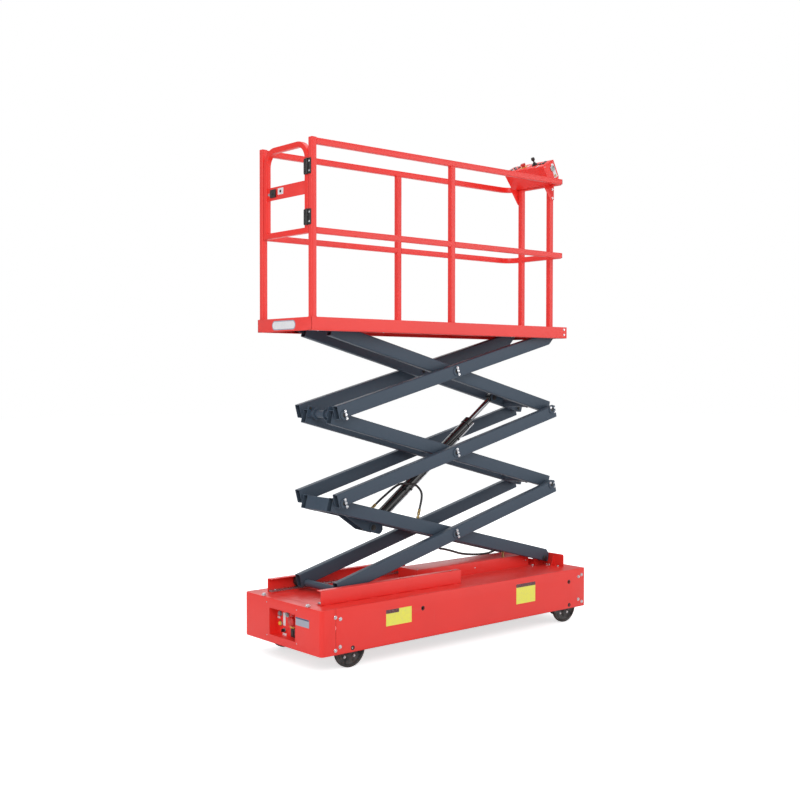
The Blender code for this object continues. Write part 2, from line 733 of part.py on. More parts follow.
def rod_mount(reach):
    """The cross tube of the top frame, and the two lugs that hold the rod's pin."""
    x, z = -ROD_PIN_ALONG, ROD_PIN_ABOVE
    tube = pin(x + ROD_MOUNT_TUBE[0], z + ROD_MOUNT_TUBE[1], CROSS_TUBE_RADIUS, (-reach, reach))
    lug = EYE_WIDTH / 2 + LUG_CLEARANCE
    outline = [(x + a, z + b) for a, b in ROD_LUG]
    pieces = [tube]
    for side in SIDES.values():
        pieces.append(prism(outline, *sorted((side * lug, side * (lug + LUG_PLATE)))))
    pieces.append(pin(-RIGHT_TUBE_ALONG, 0.0, CROSS_TUBE_RADIUS, (-reach, reach)))
    return pieces


def outer_arm(stage, name, side, holder):
    """An outer arm with the pins that turn in the inner arms. Its origin is at its middle pin."""
    half = ARM_PITCH / 2
    y = (side * OUTER_ARM_Y[0], side * OUTER_ARM_Y[1])
    tube = arm_shell(-half - ARM_OVERHANG, half + ARM_OVERHANG, y)
    pieces = [tilted(tube, 0.0, ARM_TILT)]
    inside = INNER_ARM_Y[0] + 0.004
    for x in (-half, 0.0, half):
        if stage == 1 and x < 0:
            continue  # the roller shaft is there
        if stage == STAGES and x > 0:  # this pin turns in the platform's lug
            spans = [(PIN_RADIUS, OUTER_ARM_Y[0] + 0.010, top_lug_y()[1] - 0.002)]
        else:  # the pin, the washer between the arms and the boss outside
            spans = [
                (PIN_RADIUS, inside, OUTER_ARM_FACE + 0.004),
                (PIN_RADIUS + 0.010, INNER_ARM_Y[1] + 0.003, OUTER_ARM_Y[0] + 0.002),
                (PIN_RADIUS + 0.008, OUTER_ARM_FACE - 0.002, OUTER_ARM_FACE + 0.006),
            ]
        pieces += [pin(x, 0.0, radius, (side * start, side * end)) for radius, start, end in spans]
    mesh = joined(*pieces)
    if stage == 1:
        mesh = joined(mesh, *sleeves((-half,), y))
        mesh = cut(mesh, pin(-half, 0.0, PIN_RADIUS + GAP, (side * 0.15, side * 0.26)))
    part(f"outer_arm_{stage}_{name}", mesh, "grey_paint", holder)


def top_lug_y():
    """The inside and outside of the platform's hinge lug, from the middle."""
    inside = OUTER_ARM_FACE + 0.005
    return inside, inside + TOP_LUG_PLATE


def roller_shaft(name, place, radius, holder):
    """A shaft with a roller at each end. The mesh is in the world's axes, moved to the holder's."""
    reach = ROLLER_Y + ROLLER_WIDTH / 2 + 0.002
    into = holder.matrix_world.inverted()
    shaft = pin(place[0], place[2], PIN_RADIUS, (-reach, reach))
    shaft.transform(into)
    part(f"{name}_roller_shaft", shaft, "grey_paint", holder)
    for side_name, side in SIDES.items():
        low, high = ROLLER_Y - ROLLER_WIDTH / 2, ROLLER_Y + ROLLER_WIDTH / 2
        bore = PIN_RADIUS + GAP
        edge = 0.002
        profile = [
            (low, bore),
            (low, radius - edge),
            (low + edge, radius),
            (high - edge, radius),
            (high, radius - edge),
            (high, bore),
        ]
        roller = turned(profile, place, (0, side, 0), ROLLER_SIDES)
        roller.transform(into)
        part(f"{name}_roller_{side_name}", roller, "black_plastic", holder)


def scissor():
    """All arms, from the bottom up."""
    for stage in range(1, STAGES + 1):
        z = BASE_PIN_Z + (stage - 1) * STAGE_RISE
        inner = body(f"inner_{stage}", (BASE_PIN_X, 0, z), REST_ANGLE)
        outer = body(f"outer_{stage}", (BASE_PIN_X - ARM_RUN / 2, 0, z + STAGE_RISE / 2), -REST_ANGLE)
        bpy.context.view_layer.update()
        inner_frame(stage, inner)
        for name, side in SIDES.items():
            outer_arm(stage, name, side, outer)
        if stage == 1:
            roller_shaft("base", (LEFT_PIN_X, 0, BASE_PIN_Z), BASE_ROLLER_RADIUS, outer)
            for end_name, (foot, end, _) in hose_arm_ends().items():
                fitting(f"arm_fitting_{end_name}", end, foot, inner)
        if stage == STAGES:
            roller_shaft("top", (LEFT_PIN_X, 0, TOP_PIN_Z), TOP_ROLLER_RADIUS, inner)


# ---------------------------------------------------------------- lift cylinder
def on_inner_arm(stage, along, above, y=0.0):
    """The place of a point given along the inner arm of a stage and above its middle line."""
    z = BASE_PIN_Z + (stage - 1) * STAGE_RISE
    return Vector(
        (
            BASE_PIN_X - along * cos(REST_ANGLE) + above * sin(REST_ANGLE),
            y,
            z + along * sin(REST_ANGLE) + above * cos(REST_ANGLE),
        )
    )


def on_inner_tube(along, above, y):
    """The same on the lowest frame's tube, which is tilted about its middle pin."""
    angle = REST_ANGLE - ARM_TILT
    reach = along - ARM_PITCH / 2
    across = Vector((above * sin(angle) - reach * cos(angle), 0.0, above * cos(angle) + reach * sin(angle)))
    return on_inner_arm(1, ARM_PITCH / 2, 0.0, y) + across


def lift_cylinder():
    """The barrel, hinged on the lowest frame, and the rod that slides in it."""
    foot = on_inner_arm(1, BARREL_PIN_ALONG, BARREL_PIN_ABOVE)
    eye = on_inner_arm(3, ROD_PIN_ALONG, ROD_PIN_ABOVE)
    line = (eye - foot).normalized()
    barrel_length = (eye - foot).length - ROD_SHOWN
    barrel = body("barrel", foot)
    rod = body("rod", eye)
    gland = barrel_length - GLAND_LENGTH
    bore = ROD_RADIUS + PIN_CLEARANCE
    profile = [
        (EYE_RADIUS * 0.6, 0.0),
        (EYE_RADIUS * 0.6, BARREL_RADIUS),
        (gland, BARREL_RADIUS),
        (gland, GLAND_RADIUS),
        (barrel_length - 0.004, GLAND_RADIUS),
        (barrel_length, GLAND_RADIUS - 0.004),
        (barrel_length, bore),
        (barrel_length - BARREL_BORE_DEPTH, bore),
        (barrel_length - BARREL_BORE_DEPTH, 0.0),
    ]
    tube = turned(profile, (0, 0, 0), line, 24)
    ring_end = BARREL_RADIUS + BARREL_LUG_CLEARANCE - 0.002
    ring = pin(0.0, 0.0, EYE_RADIUS, (-ring_end, ring_end), 24)
    side = Vector((0, -1, 0))
    lower = line.cross(side).normalized()
    away = (side + lower).normalized() * (BARREL_RADIUS + RETURN_PIPE_RADIUS - 0.001)
    start, end = line * 0.150 + away, line * (gland + 0.020) + away
    pipe = rod_along(start, line, (end - start).length, RETURN_PIPE_RADIUS, 10)
    port_start = Vector(UPPER_HOSE_START) - foot - line * PORT_LENGTH
    port = rod_along(port_start, line, PORT_LENGTH - GAP, FITTING_RADIUS, 12)
    along = port_start.dot(line) + FITTING_RADIUS
    out = port_start - line * port_start.dot(line)
    boss = rod_along(line * along, out, out.length + FITTING_RADIUS, PORT_BOSS_RADIUS, 12)
    part("cylinder_barrel", joined(tube, ring, pipe, boss, port), "black_paint", barrel)
    bar = rod_along((0, 0, 0), -line, ROD_SHOWN + ROD_INSIDE, ROD_RADIUS, 24)
    ring = pin(0.0, 0.0, EYE_RADIUS - 0.002, (-EYE_WIDTH / 2, EYE_WIDTH / 2), 24)
    part("cylinder_rod", joined(bar, ring), "chrome", rod)
    hose("hose_upper", hose_routes()[0], barrel, foot)


def hose_arm_ends():
    """The two hose ends on the lowest near inner arm: for each, its foot on the arm, its end and its lead."""
    y = -(INNER_ARM_Y[0] + INNER_ARM_Y[1]) / 2
    ends = {}
    for name, along, length, way in (
        ("upper", UPPER_FITTING_ALONG, UPPER_FITTING_LENGTH, 1),
        ("lower", LOWER_FITTING_ALONG, LOWER_FITTING_LENGTH, -1),
    ):
        heights = (ARM_HALF, ARM_HALF + length, ARM_HALF + length + HOSE_LEAD)
        ends[name] = [on_inner_tube(along, way * height, y) for height in heights]
    return ends


def hose_routes():
    """The points of both hoses, from end to end."""
    ends = hose_arm_ends()
    foot = on_inner_arm(1, BARREL_PIN_ALONG, BARREL_PIN_ABOVE)
    line = (on_inner_arm(3, ROD_PIN_ALONG, ROD_PIN_ABOVE) - foot).normalized()
    start = Vector(UPPER_HOSE_START)
    upper = [start, start + line * HOSE_LEAD, *UPPER_HOSE_MIDDLE, ends["upper"][2], ends["upper"][1]]
    end = Vector(LOWER_HOSE_END)
    lower = [ends["lower"][1], ends["lower"][2], *LOWER_HOSE_MIDDLE, end + Vector((0, 0, HOSE_LEAD)), end]
    return upper, lower


def fitting(name, top, bottom, holder=None):
    """A hose's end fitting, from the hose's end down to what holds it."""
    top, bottom = Vector(top), Vector(bottom)
    line = (bottom - top).normalized()
    length = (bottom - top).length
    profile = [
        (GAP, 0.0),
        (GAP, FITTING_RADIUS),
        (length * 0.6, FITTING_RADIUS),
        (length * 0.62, FITTING_RADIUS + 0.002),
        (length - GAP, FITTING_RADIUS + 0.002),
        (length - GAP, 0.0),
    ]
    mesh = turned(profile, top, line, 12)
    if holder:
        mesh.transform(holder.matrix_world.inverted())
    part(name, mesh, "brass", holder)


# ---------------------------------------------------------------- platform
def platform(holder, about):
    """The frame with its side channels, the floor plate and the separate end plate."""
    frame_end = PLATFORM_X[1] - END_PLATE_LENGTH
    channel = [
        (PLATFORM_Y, PLATFORM_BOTTOM),
        (PLATFORM_Y - BEAM_FLANGE, PLATFORM_BOTTOM),
        (PLATFORM_Y - BEAM_FLANGE, PLATFORM_BOTTOM + BEAM_WALL),
        (PLATFORM_Y - BEAM_WALL, PLATFORM_BOTTOM + BEAM_WALL),
        (PLATFORM_Y - BEAM_WALL, FLOOR_UNDER - BEAM_WALL - GAP),
        (PLATFORM_Y - BEAM_FLANGE, FLOOR_UNDER - BEAM_WALL - GAP),
        (PLATFORM_Y - BEAM_FLANGE, FLOOR_UNDER - GAP),
        (PLATFORM_Y - BEAM_WALL, FLOOR_UNDER - GAP),
        (PLATFORM_Y - BEAM_WALL, PLATFORM_TOP),
        (PLATFORM_Y, PLATFORM_TOP),
    ]
    low_z = FLOOR_UNDER - GAP
    end_wall = (PLATFORM_X[0], PLATFORM_X[0] + BEAM_WALL)
    pieces = [block(end_wall, (-PLATFORM_Y, PLATFORM_Y), (PLATFORM_BOTTOM, PLATFORM_TOP))]
    inside, outside = top_lug_y()
    bores = []
    for side in SIDES.values():
        pieces.append(prism([(side * y, z) for y, z in channel], PLATFORM_X[0], frame_end, "X"))
        lug_x = (BASE_PIN_X - 0.035, BASE_PIN_X + 0.035)
        lug_y = (side * inside, side * outside)
        pieces.append(block(lug_x, lug_y, (TOP_PIN_Z - 0.028, low_z)))
        pieces.append(block(lug_x, (side * inside, side * (PLATFORM_Y - 0.002)), (low_z - 0.008, low_z)))
        through = (side * (inside - 0.010), side * (outside + 0.005))
        bores.append(pin(BASE_PIN_X, TOP_PIN_Z, PIN_RADIUS + PIN_CLEARANCE, through))
    reach = PLATFORM_Y - BEAM_FLANGE + 0.002
    for x in CROSS_RIB_XS:
        rib = (x - CROSS_RIB_WIDTH / 2, x + CROSS_RIB_WIDTH / 2)
        pieces.append(block(rib, (-reach, reach), (low_z - CROSS_RIB_HEIGHT, low_z)))
    part("platform_frame", cut(joined(*pieces), *bores), "red_paint", holder, about)
    part("platform_floor", floor_plate(frame_end), "red_paint", holder, about)
    end_x = (frame_end + GAP, PLATFORM_X[1])
    solid = block(end_x, (-PLATFORM_Y, PLATFORM_Y), (PLATFORM_BOTTOM, PLATFORM_TOP))
    hollow = block(
        (end_x[0] - 0.01, end_x[1] - BEAM_WALL),
        (-PLATFORM_Y + BEAM_WALL, PLATFORM_Y - BEAM_WALL),
        (PLATFORM_BOTTOM - 0.01, PLATFORM_TOP - FLOOR_PLATE),
    )
    part("platform_end_plate", cut(solid, hollow), "red_paint", holder, about)


def floor_plate(frame_end):
    """The floor, notched around the feet of the posts."""
    x = (PLATFORM_X[0] + BEAM_WALL + GAP, frame_end - GAP)
    edge = PLATFORM_Y - BEAM_WALL - GAP
    z = (FLOOR_UNDER, PLATFORM_TOP - FLOOR_DROP)
    around = TUBE / 2 + POST_NOTCH
    deep = (FLOOR_UNDER - FLOOR_PLATE, PLATFORM_TOP + FLOOR_PLATE)
    notches = []
    for name, side in SIDES.items():
        y = (side * (POST_FACE_Y[name] - TUBE - POST_NOTCH), side * PLATFORM_Y)
        notches.append(block((PLATFORM_X[0], LEFT_POST_X + around), y, deep))
        notches.append(block((MIDDLE_POST_X[name] - around, MIDDLE_POST_X[name] + around), y, deep))
        end_y = CONSOLE_POST_Y[name]
        notches.append(block((END_RAIL_X - around, PLATFORM_X[1]), (end_y - around, end_y + around), deep))
    return cut(block(x, (-edge, edge), z), *notches)


def square(size):
    half = size / 2
    return [(-half, -half), (half, -half), (half, half), (-half, half)]


def rail_heights():
    """The middle heights of the top rail and the mid rail."""
    return RAIL_TOP - TUBE / 2, PLATFORM_TOP + MID_RAIL_HEIGHT - TUBE / 2


def bend_reach(y):
    """How far the end rail's inner side has bent in at a distance from the middle."""
    inner = RAIL_BEND - TUBE / 2
    bend = arc((-inner, POST_FACE_Y["far"] - TUBE / 2 - RAIL_BEND), inner, 0, 90, BEND_STEPS)
    for (x, start), (next_x, end) in zip(bend, bend[1:]):
        if start < y <= end:
            return -x + (x - next_x) * (y - start) / (end - start)
    return 0.0


def post(x, y, foot):
    """A square post that stands on its foot's height."""
    half = TUBE / 2
    return block((x - half, x + half), (y - half, y + half), (foot, RAIL_TOP))


def guard_rails(holder, about):
    """The near side's straight rails, and the far side's, which bend round to cross the console end."""
    near_y, far_y = (side * (POST_FACE_Y[name] - TUBE / 2) for name, side in SIDES.items())
    on_beam, on_end_plate = FLOOR_UNDER, PLATFORM_TOP + GAP
    posts = [post(x, near_y, on_beam) for x in (LEFT_POST_X, MIDDLE_POST_X["near"])]
    rails = []
    for z in rail_heights():
        rails.append(swept(square(TUBE), [(LEFT_POST_X, near_y, z), (RAIL_END_X, near_y, z)], (0, 0, 1)))
    part("guard_rail_near", joined(*posts, *rails), "red_paint", holder, about)
    posts = [post(x, far_y, on_beam) for x in (LEFT_POST_X, MIDDLE_POST_X["far"])]
    posts += [post(END_RAIL_X, place, on_end_plate) for place in CONSOLE_POST_Y.values()]
    bend = arc((END_RAIL_X - RAIL_BEND, far_y - RAIL_BEND), RAIL_BEND, 90, 0, BEND_STEPS)
    end_y = near_y + TUBE / 2 + GAP
    rails = []
    for z in rail_heights():
        path = [(LEFT_POST_X, far_y, z), *((a, b, z) for a, b in bend), (END_RAIL_X, end_y, z)]
        rails.append(swept(square(TUBE), path, (0, 0, 1)))
    part("guard_rail_far", joined(*posts, *rails), "red_paint", holder, about)


def gate_axis():
    """The gate's hinge line: on the outside of the near post, over the gap beside it."""
    return LEFT_POST_X - TUBE / 2 - KNUCKLE_RADIUS, TUBE - POST_FACE_Y["near"] + GATE_CLEARANCE / 2


def gate(platform_holder, about):
    """The gate's bent tube frame with its cross plate, the near leaf of each hinge and the latch."""
    x = LEFT_POST_X
    half = GATE_TUBE / 2
    low, high = (side * (POST_FACE_Y[name] - TUBE - GATE_CLEARANCE - half) for name, side in SIDES.items())
    axis = gate_axis()
    holder = body("gate_body", (axis[0], axis[1], 0.0))
    here = (axis[0], axis[1], 0.0)
    bottom, top = PLATFORM_TOP + GATE_Z[0] + half, PLATFORM_TOP + GATE_Z[1] - half
    plate_z = [PLATFORM_TOP + z for z in GATE_PLATE_Z]
    loop = [(low, bottom), *arc((low + GATE_BEND, top - GATE_BEND), GATE_BEND, 180, 90, 5)]
    loop += [*arc((high - GATE_BEND, top - GATE_BEND), GATE_BEND, 90, 0, 5), (high, bottom)]
    frame = swept(square(GATE_TUBE), [(x, y, z) for y, z in loop], (1, 0, 0), closed=True)
    plate = block((x - GATE_PLATE / 2, x + GATE_PLATE / 2), (low, high), plate_z)
    pieces = [frame, plate]
    hinge_zs = {name: PLATFORM_TOP + z for name, z in HINGE_ZS.items()}
    for z in hinge_zs.values():
        leaf_x = (axis[0] + KNUCKLE_RADIUS - HINGE_LEAF, x)
        leaf_y = (axis[1] + KNUCKLE_RADIUS + 0.003, axis[1] + HINGE_REACH)
        height = HINGE_HEIGHT / 2
        pieces.append(block(leaf_x, leaf_y, (z - height, z + height)))
    part("gate", joined(*pieces), "red_paint", holder, here)
    latch_x = (x - GATE_PLATE / 2 - LATCH_DEPTH, x - GATE_PLATE / 2 - GAP)
    middle = sum(plate_z) / 2
    latch_z = (middle - LATCH_HEIGHT / 2, middle + LATCH_HEIGHT / 2)
    part("gate_latch", block(latch_x, LATCH_Y, latch_z), "black_plastic", holder, here)
    for name, z in hinge_zs.items():
        height = HINGE_HEIGHT / 2
        knuckle = prism(circle(KNUCKLE_RADIUS, 12, *axis), z - height, z + height, "Z")
        leaf = block(
            (axis[0] + KNUCKLE_RADIUS - HINGE_LEAF - GAP, axis[0] + KNUCKLE_RADIUS - GAP),
            (axis[1] - HINGE_REACH, axis[1]),
            (z - height, z + height),
        )
        part(f"gate_hinge_{name}", joined(knuckle, leaf), "black_plastic", platform_holder, about)


def console(holder, about):
    """The operator's console, the plates that carry it, the joystick and the stop button."""
    half = TUBE / 2
    around = half + bend_reach(CONSOLE_HALF_WIDTH) + CONSOLE_CLEARANCE
    over = RAIL_TOP + around - half
    under = PLATFORM_TOP + CONSOLE_UNDERSIDE
    sides = (END_RAIL_X - around, END_RAIL_X + around)
    notch = [(sides[0], under), (sides[0], over), (sides[1], over), (sides[1], under)]
    shape = [(x, PLATFORM_TOP + z) for x, z in CONSOLE_OUTLINE]
    outline = [*shape, *notch]
    part("console", prism(outline, -CONSOLE_HALF_WIDTH, CONSOLE_HALF_WIDTH), "red_paint", holder, about)
    (back_x, back_z), (top_x, top_z) = shape[2], shape[3]
    slope = Vector((back_x - top_x, 0, back_z - top_z)).normalized()
    up = Vector((-slope.z, 0, slope.x))
    middle = Vector(((top_x + back_x) / 2, 0, (top_z + back_z) / 2))
    stick = [
        (GAP, 0.0),
        (GAP, 0.022),
        (0.010, 0.022),
        (0.020, 0.006),
        (JOYSTICK_LENGTH * 0.5, 0.006),
        (JOYSTICK_LENGTH * 0.6, 0.013),
        (JOYSTICK_LENGTH, 0.011),
        (JOYSTICK_LENGTH, 0.0),
    ]
    place = middle + Vector((0, JOYSTICK_Y, 0))
    part("joystick", turned(stick, place, up, 14), "black_plastic", holder, about)
    button = [
        (GAP, 0.0),
        (GAP, 0.012),
        (0.014, 0.012),
        (0.016, 0.020),
        (0.026, 0.020),
        (0.030, 0.014),
        (0.030, 0.0),
    ]
    place = middle + Vector((0, CONSOLE_STOP_Y, 0))
    part("console_stop_button", turned(button, place, up, 18), "red_plastic", holder, about)
    for name, y in CONSOLE_POST_Y.items():
        outer_y = y + SIDES[name] * (TUBE / 2 + GAP)
        x = END_RAIL_X
        under_rail = RAIL_TOP - TUBE - GAP
        top = under - GAP
        foot = PLATFORM_TOP + BRACKET_FOOT
        beside = x - half - GAP - bend_reach(abs(outer_y) + CONSOLE_PLATE)
        outline_xz = (
            (x - half - BRACKET_REACH, top),
            (x - half, foot),
            (x + half, foot),
            (x + half, under_rail),
            (beside, under_rail),
            (beside, top),
        )
        plate_y = sorted((outer_y, outer_y + SIDES[name] * CONSOLE_PLATE))
        part(f"console_bracket_{name}", prism(outline_xz, *plate_y), "red_paint", holder, about)


# ---------------------------------------------------------------- assembly
def clear_scene():
    for old in list(bpy.data.objects):
        bpy.data.objects.remove(old, do_unlink=True)


def main():
    clear_scene()
    chassis_frame()
    front_cover()
    rear_cover()
    deck_plate()
    centre_cover()
    power_pack()
    control_recess()
    base_shaft()
    for name, side in SIDES.items():
        side_panel(name, side)
        roller_track(name, side)
        base_bracket(name, side)
    for name in WHEEL_XS:
        wheel_set(name)
    scissor()
    lift_cylinder()
    hose("hose_lower", hose_routes()[1])
    end = LOWER_HOSE_END
    fitting("deck_fitting", end, (end[0], end[1], CENTRE_COVER_TOP))
    about = (BASE_PIN_X, 0.0, TOP_PIN_Z)
    holder = body("platform", about)
    platform(holder, about)
    guard_rails(holder, about)
    gate(holder, about)
    console(holder, about)


if __name__ == "__main__":
    main()
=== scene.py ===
"""The finish of a scissor lift that runs on pipe rails: rounded sheet and tube work, bolts, welds, controls and paint.

Everything is in metres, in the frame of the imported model. +X is the end with the control console, -X the end with
the gate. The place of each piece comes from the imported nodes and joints. Each group of pieces has its operator.
"""

import json
from itertools import product
from math import asin, atan2, cos, pi, radians, sin, tan

import bmesh
import bpy
from mathutils import Matrix, Vector

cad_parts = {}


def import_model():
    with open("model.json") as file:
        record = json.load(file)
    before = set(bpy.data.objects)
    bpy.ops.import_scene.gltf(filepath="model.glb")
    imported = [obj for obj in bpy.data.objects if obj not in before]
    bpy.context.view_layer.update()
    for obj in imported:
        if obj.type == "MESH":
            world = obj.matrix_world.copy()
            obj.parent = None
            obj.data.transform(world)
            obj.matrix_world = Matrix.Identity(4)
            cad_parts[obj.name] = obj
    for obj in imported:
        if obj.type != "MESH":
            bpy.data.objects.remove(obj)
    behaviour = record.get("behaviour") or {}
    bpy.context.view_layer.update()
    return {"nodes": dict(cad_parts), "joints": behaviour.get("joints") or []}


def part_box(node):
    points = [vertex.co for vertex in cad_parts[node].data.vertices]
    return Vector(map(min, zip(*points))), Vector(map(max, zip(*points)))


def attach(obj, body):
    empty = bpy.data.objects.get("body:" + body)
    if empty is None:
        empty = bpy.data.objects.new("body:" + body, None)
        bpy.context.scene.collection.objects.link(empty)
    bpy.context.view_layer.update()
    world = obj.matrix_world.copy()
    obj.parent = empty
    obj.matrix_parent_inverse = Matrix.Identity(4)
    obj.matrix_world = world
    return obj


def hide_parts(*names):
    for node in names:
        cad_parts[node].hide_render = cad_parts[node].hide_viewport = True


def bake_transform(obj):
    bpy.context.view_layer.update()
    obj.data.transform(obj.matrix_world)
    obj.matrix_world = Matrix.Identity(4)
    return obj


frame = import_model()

JOINTS = {joint["name"]: joint for joint in frame["joints"]}

bl_info = {
    "name": "Pipe Rail Scissor Lift",
    "version": (1, 0, 0),
    "blender": (4, 5, 0),
    "location": "3D View > Sidebar > Lift",
    "description": "Finishes a scissor lift around its packed frame",
    "category": "Object",
}

SIDES = {"near": -1, "far": 1}
WAYS = (-1, 1)
SHARP = radians(35)
X, Y, Z = Vector((1, 0, 0)), Vector((0, 1, 0)), Vector((0, 0, 1))


# ---- settings
class LiftSettings(bpy.types.PropertyGroup):
    """Sizes and colours that change the look of the lift."""

    red: bpy.props.FloatVectorProperty(
        name="Red", description="Powder coat of the chassis and platform", subtype="COLOR", default=(0.90, 0.031, 0.022)
    )
    grey: bpy.props.FloatVectorProperty(
        name="Anthracite", description="Powder coat of the arms", subtype="COLOR", default=(0.042, 0.066, 0.098)
    )
    edge: bpy.props.FloatProperty(
        name="Edge", description="Rounding of folded sheet and cut plate", default=0.0012, unit="LENGTH"
    )
    tube_corner: bpy.props.FloatProperty(
        name="Tube corner", description="Outside radius of the guard rail tube", default=0.004, unit="LENGTH"
    )
    arm_corner: bpy.props.FloatProperty(
        name="Arm corner", description="Outside radius of the arms' tube", default=0.007, unit="LENGTH"
    )
    bolt: bpy.props.FloatProperty(
        name="Bolt", description="Radius of a common bolt head", default=0.0085, unit="LENGTH"
    )
    weld: bpy.props.FloatProperty(name="Weld", description="Radius of a weld bead", default=0.003, unit="LENGTH")
    hose: bpy.props.FloatProperty(
        name="Hose", description="Outside diameter of a hose", default=0.0156, unit="LENGTH"
    )


def settings():
    return bpy.context.scene.lift_settings


# ---- finishes
class Link:
    """A shader socket, with its maths done as nodes."""

    def __init__(self, finish, socket):
        self.finish, self.socket = finish, socket

    def _math(self, operation, *values):
        return self.finish.node("ShaderNodeMath", {"operation": operation}, dict(enumerate(values)))

    def __add__(self, other):
        return self._math("ADD", self, other)

    def __sub__(self, other):
        return self._math("SUBTRACT", self, other)

    def __rsub__(self, other):
        return self._math("SUBTRACT", other, self)

    def __mul__(self, other):
        return self._math("MULTIPLY", self, other)

    __radd__ = __add__
    __rmul__ = __mul__


class Finish:
    """A material being made, with one Principled shader."""

    def __init__(self, name, colour, roughness, metallic=0.0, coat=0.0):
        self.material = bpy.data.materials.new(name)
        self.material.use_nodes = True
        self.tree = self.material.node_tree
        self.put("Base Color", (*colour, 1.0))
        self.put("Roughness", roughness)
        self.put("Metallic", metallic)
        self.put("Coat Weight", coat)
        self.put("Coat Roughness", 0.12)
        self.place = self.node("ShaderNodeTexCoord", out="Object")

    def node(self, kind, options=None, values=None, out=0):
        """A node with its settings, then its sockets' values or links. Returns one of its outputs."""
        made = self.tree.nodes.new(kind)
        for key, value in (options or {}).items():
            setattr(made, key, value)
        for key, value in (values or {}).items():
            self.put(made.inputs[key], value)
        return Link(self, made.outputs[out])

    def put(self, socket, value):
        """Puts a value or a link into a socket, or into an input of the main shader by its name."""
        if isinstance(socket, str):
            socket = self.tree.nodes["Principled BSDF"].inputs[socket]
        if isinstance(value, Link):
            self.tree.links.new(value.socket, socket)
        else:
            socket.default_value = value

    def noise(self, scale, detail=3.0, stretch=None, rough=0.55):
        """Soft noise about 0.5, with a stretch of its scale along each axis."""
        place = self.place
        if stretch:
            place = self.node("ShaderNodeMapping", None, {"Vector": place, "Scale": stretch})
        values = {"Vector": place, "Scale": scale, "Detail": detail, "Roughness": rough}
        return self.node("ShaderNodeTexNoise", None, values)

    def cells(self, scale):
        return self.node("ShaderNodeTexVoronoi", None, {"Vector": self.place, "Scale": scale})

    def between(self, value, low, high, start=0.0, end=1.0):
        """The value mapped smoothly from low..high to start..end."""
        ends = {0: value, 1: low, 2: high, 3: start, 4: end}
        return self.node("ShaderNodeMapRange", {"interpolation_type": "SMOOTHSTEP"}, ends)

    def mixed(self, share, *colours):
        """One colour over another."""
        first, second = (each if isinstance(each, Link) else (*each, 1.0) for each in colours)
        return self.node("ShaderNodeMix", {"data_type": "RGBA"}, {"Factor": share, 6: first, 7: second}, out=2)

    def upward(self):
        """1 on faces that look up, 0 on upright and lower ones."""
        normal = self.node("ShaderNodeNewGeometry", out="Normal")
        return self.between(self.node("ShaderNodeSeparateXYZ", None, {"Vector": normal}, "Z"), 0.35, 0.95)

    def convex(self):
        """1 along outside edges."""
        return self.between(self.node("ShaderNodeNewGeometry", out="Pointiness"), 0.515, 0.60)

    def bump(self, height, strength, distance):
        values = {"Height": height, "Strength": strength, "Distance": distance}
        self.put("Normal", self.node("ShaderNodeBump", None, values))


def shade(colour, factor, amount=0.0):
    return tuple(channel * factor + amount for channel in colour)


def powder_coat(name, setting, roughness, coat, specular):
    """Sprayed and baked paint: fine orange peel, a little dust on what looks up, and light handling marks."""
    colour = tuple(getattr(settings(), setting))
    made = Finish(name, colour, roughness, coat=coat)
    made.put("Specular IOR Level", specular)
    dust = made.upward() * made.between(made.noise(9.0, 5.0), 0.40, 0.75, 0.0, 0.07)
    scuffs = made.between(made.noise(26.0, 6.0, (1.0, 1.0, 0.25)), 0.62, 0.74) * 0.04
    body = made.mixed(made.between(made.noise(2.2, 2.0), 0.3, 0.7, 0.0, 0.35), colour, shade(colour, 0.86))
    made.put("Base Color", made.mixed(dust + scuffs + made.convex() * 0.12, body, shade(colour, 0.6, 0.16)))
    made.put("Roughness", made.noise(40.0, 3.0) * 0.14 + (roughness - 0.07) + dust * 0.8)
    made.bump(made.noise(420.0, 2.0) + made.noise(70.0, 2.0) * 0.6, 0.055, 0.002)
    return made.material


def cast_iron():
    """Machined casting: dark scale on the web, rubbed bright and rusty where it rolls."""
    made = Finish("machined_casting", (0.05, 0.05, 0.05), 0.55, metallic=0.3)
    grime = made.between(made.noise(28.0, 7.0), 0.35, 0.72)
    rust = made.between(made.noise(52.0, 6.0), 0.52, 0.70)
    iron = made.mixed(grime, (0.075, 0.073, 0.072), (0.018, 0.017, 0.017))
    made.put("Base Color", made.mixed(rust * 0.5 + made.convex() * 0.25, iron, (0.15, 0.085, 0.05)))
    made.put("Roughness", grime * 0.3 + 0.42)
    made.bump(made.noise(150.0, 5.0) + made.noise(700.0, 2.0) * 0.3, 0.25, 0.0015)
    return made.material


def worn(name, metallic, coat, mask, shades, gloss, grain, pores=0.0):
    """A finish in two shades, mixed by soft noise.

    mask: the noise's scale and detail, then the range it is mapped from, and to. gloss: the roughness as a factor and
    an amount, of the mask or of noise of its own. grain: the bump's noise, strength and distance. pores: cells in it.
    """
    made = Finish(name, shades[0], gloss[1], metallic, coat)
    spots = made.between(made.noise(*mask[:2]), *mask[2:])
    made.put("Base Color", made.mixed(spots, *shades))
    factor, amount, *own = gloss
    made.put("Roughness", (made.noise(*own) if own else spots) * factor + amount)
    noise, *size = grain
    made.bump(made.cells(pores) + made.noise(*noise) if pores else made.noise(*noise), *size)
    return made.material


def moulded(name, colour):
    """Glossy moulded plastic with fine texture."""
    shades, gloss = (colour, shade(colour, 0.78)), (0.18, 0.20, 90, 3)
    return worn(name, 0, 0.3, (45, 4, 0.4, 0.8), shades, gloss, ((1100, 2), 0.04, 0.0004))


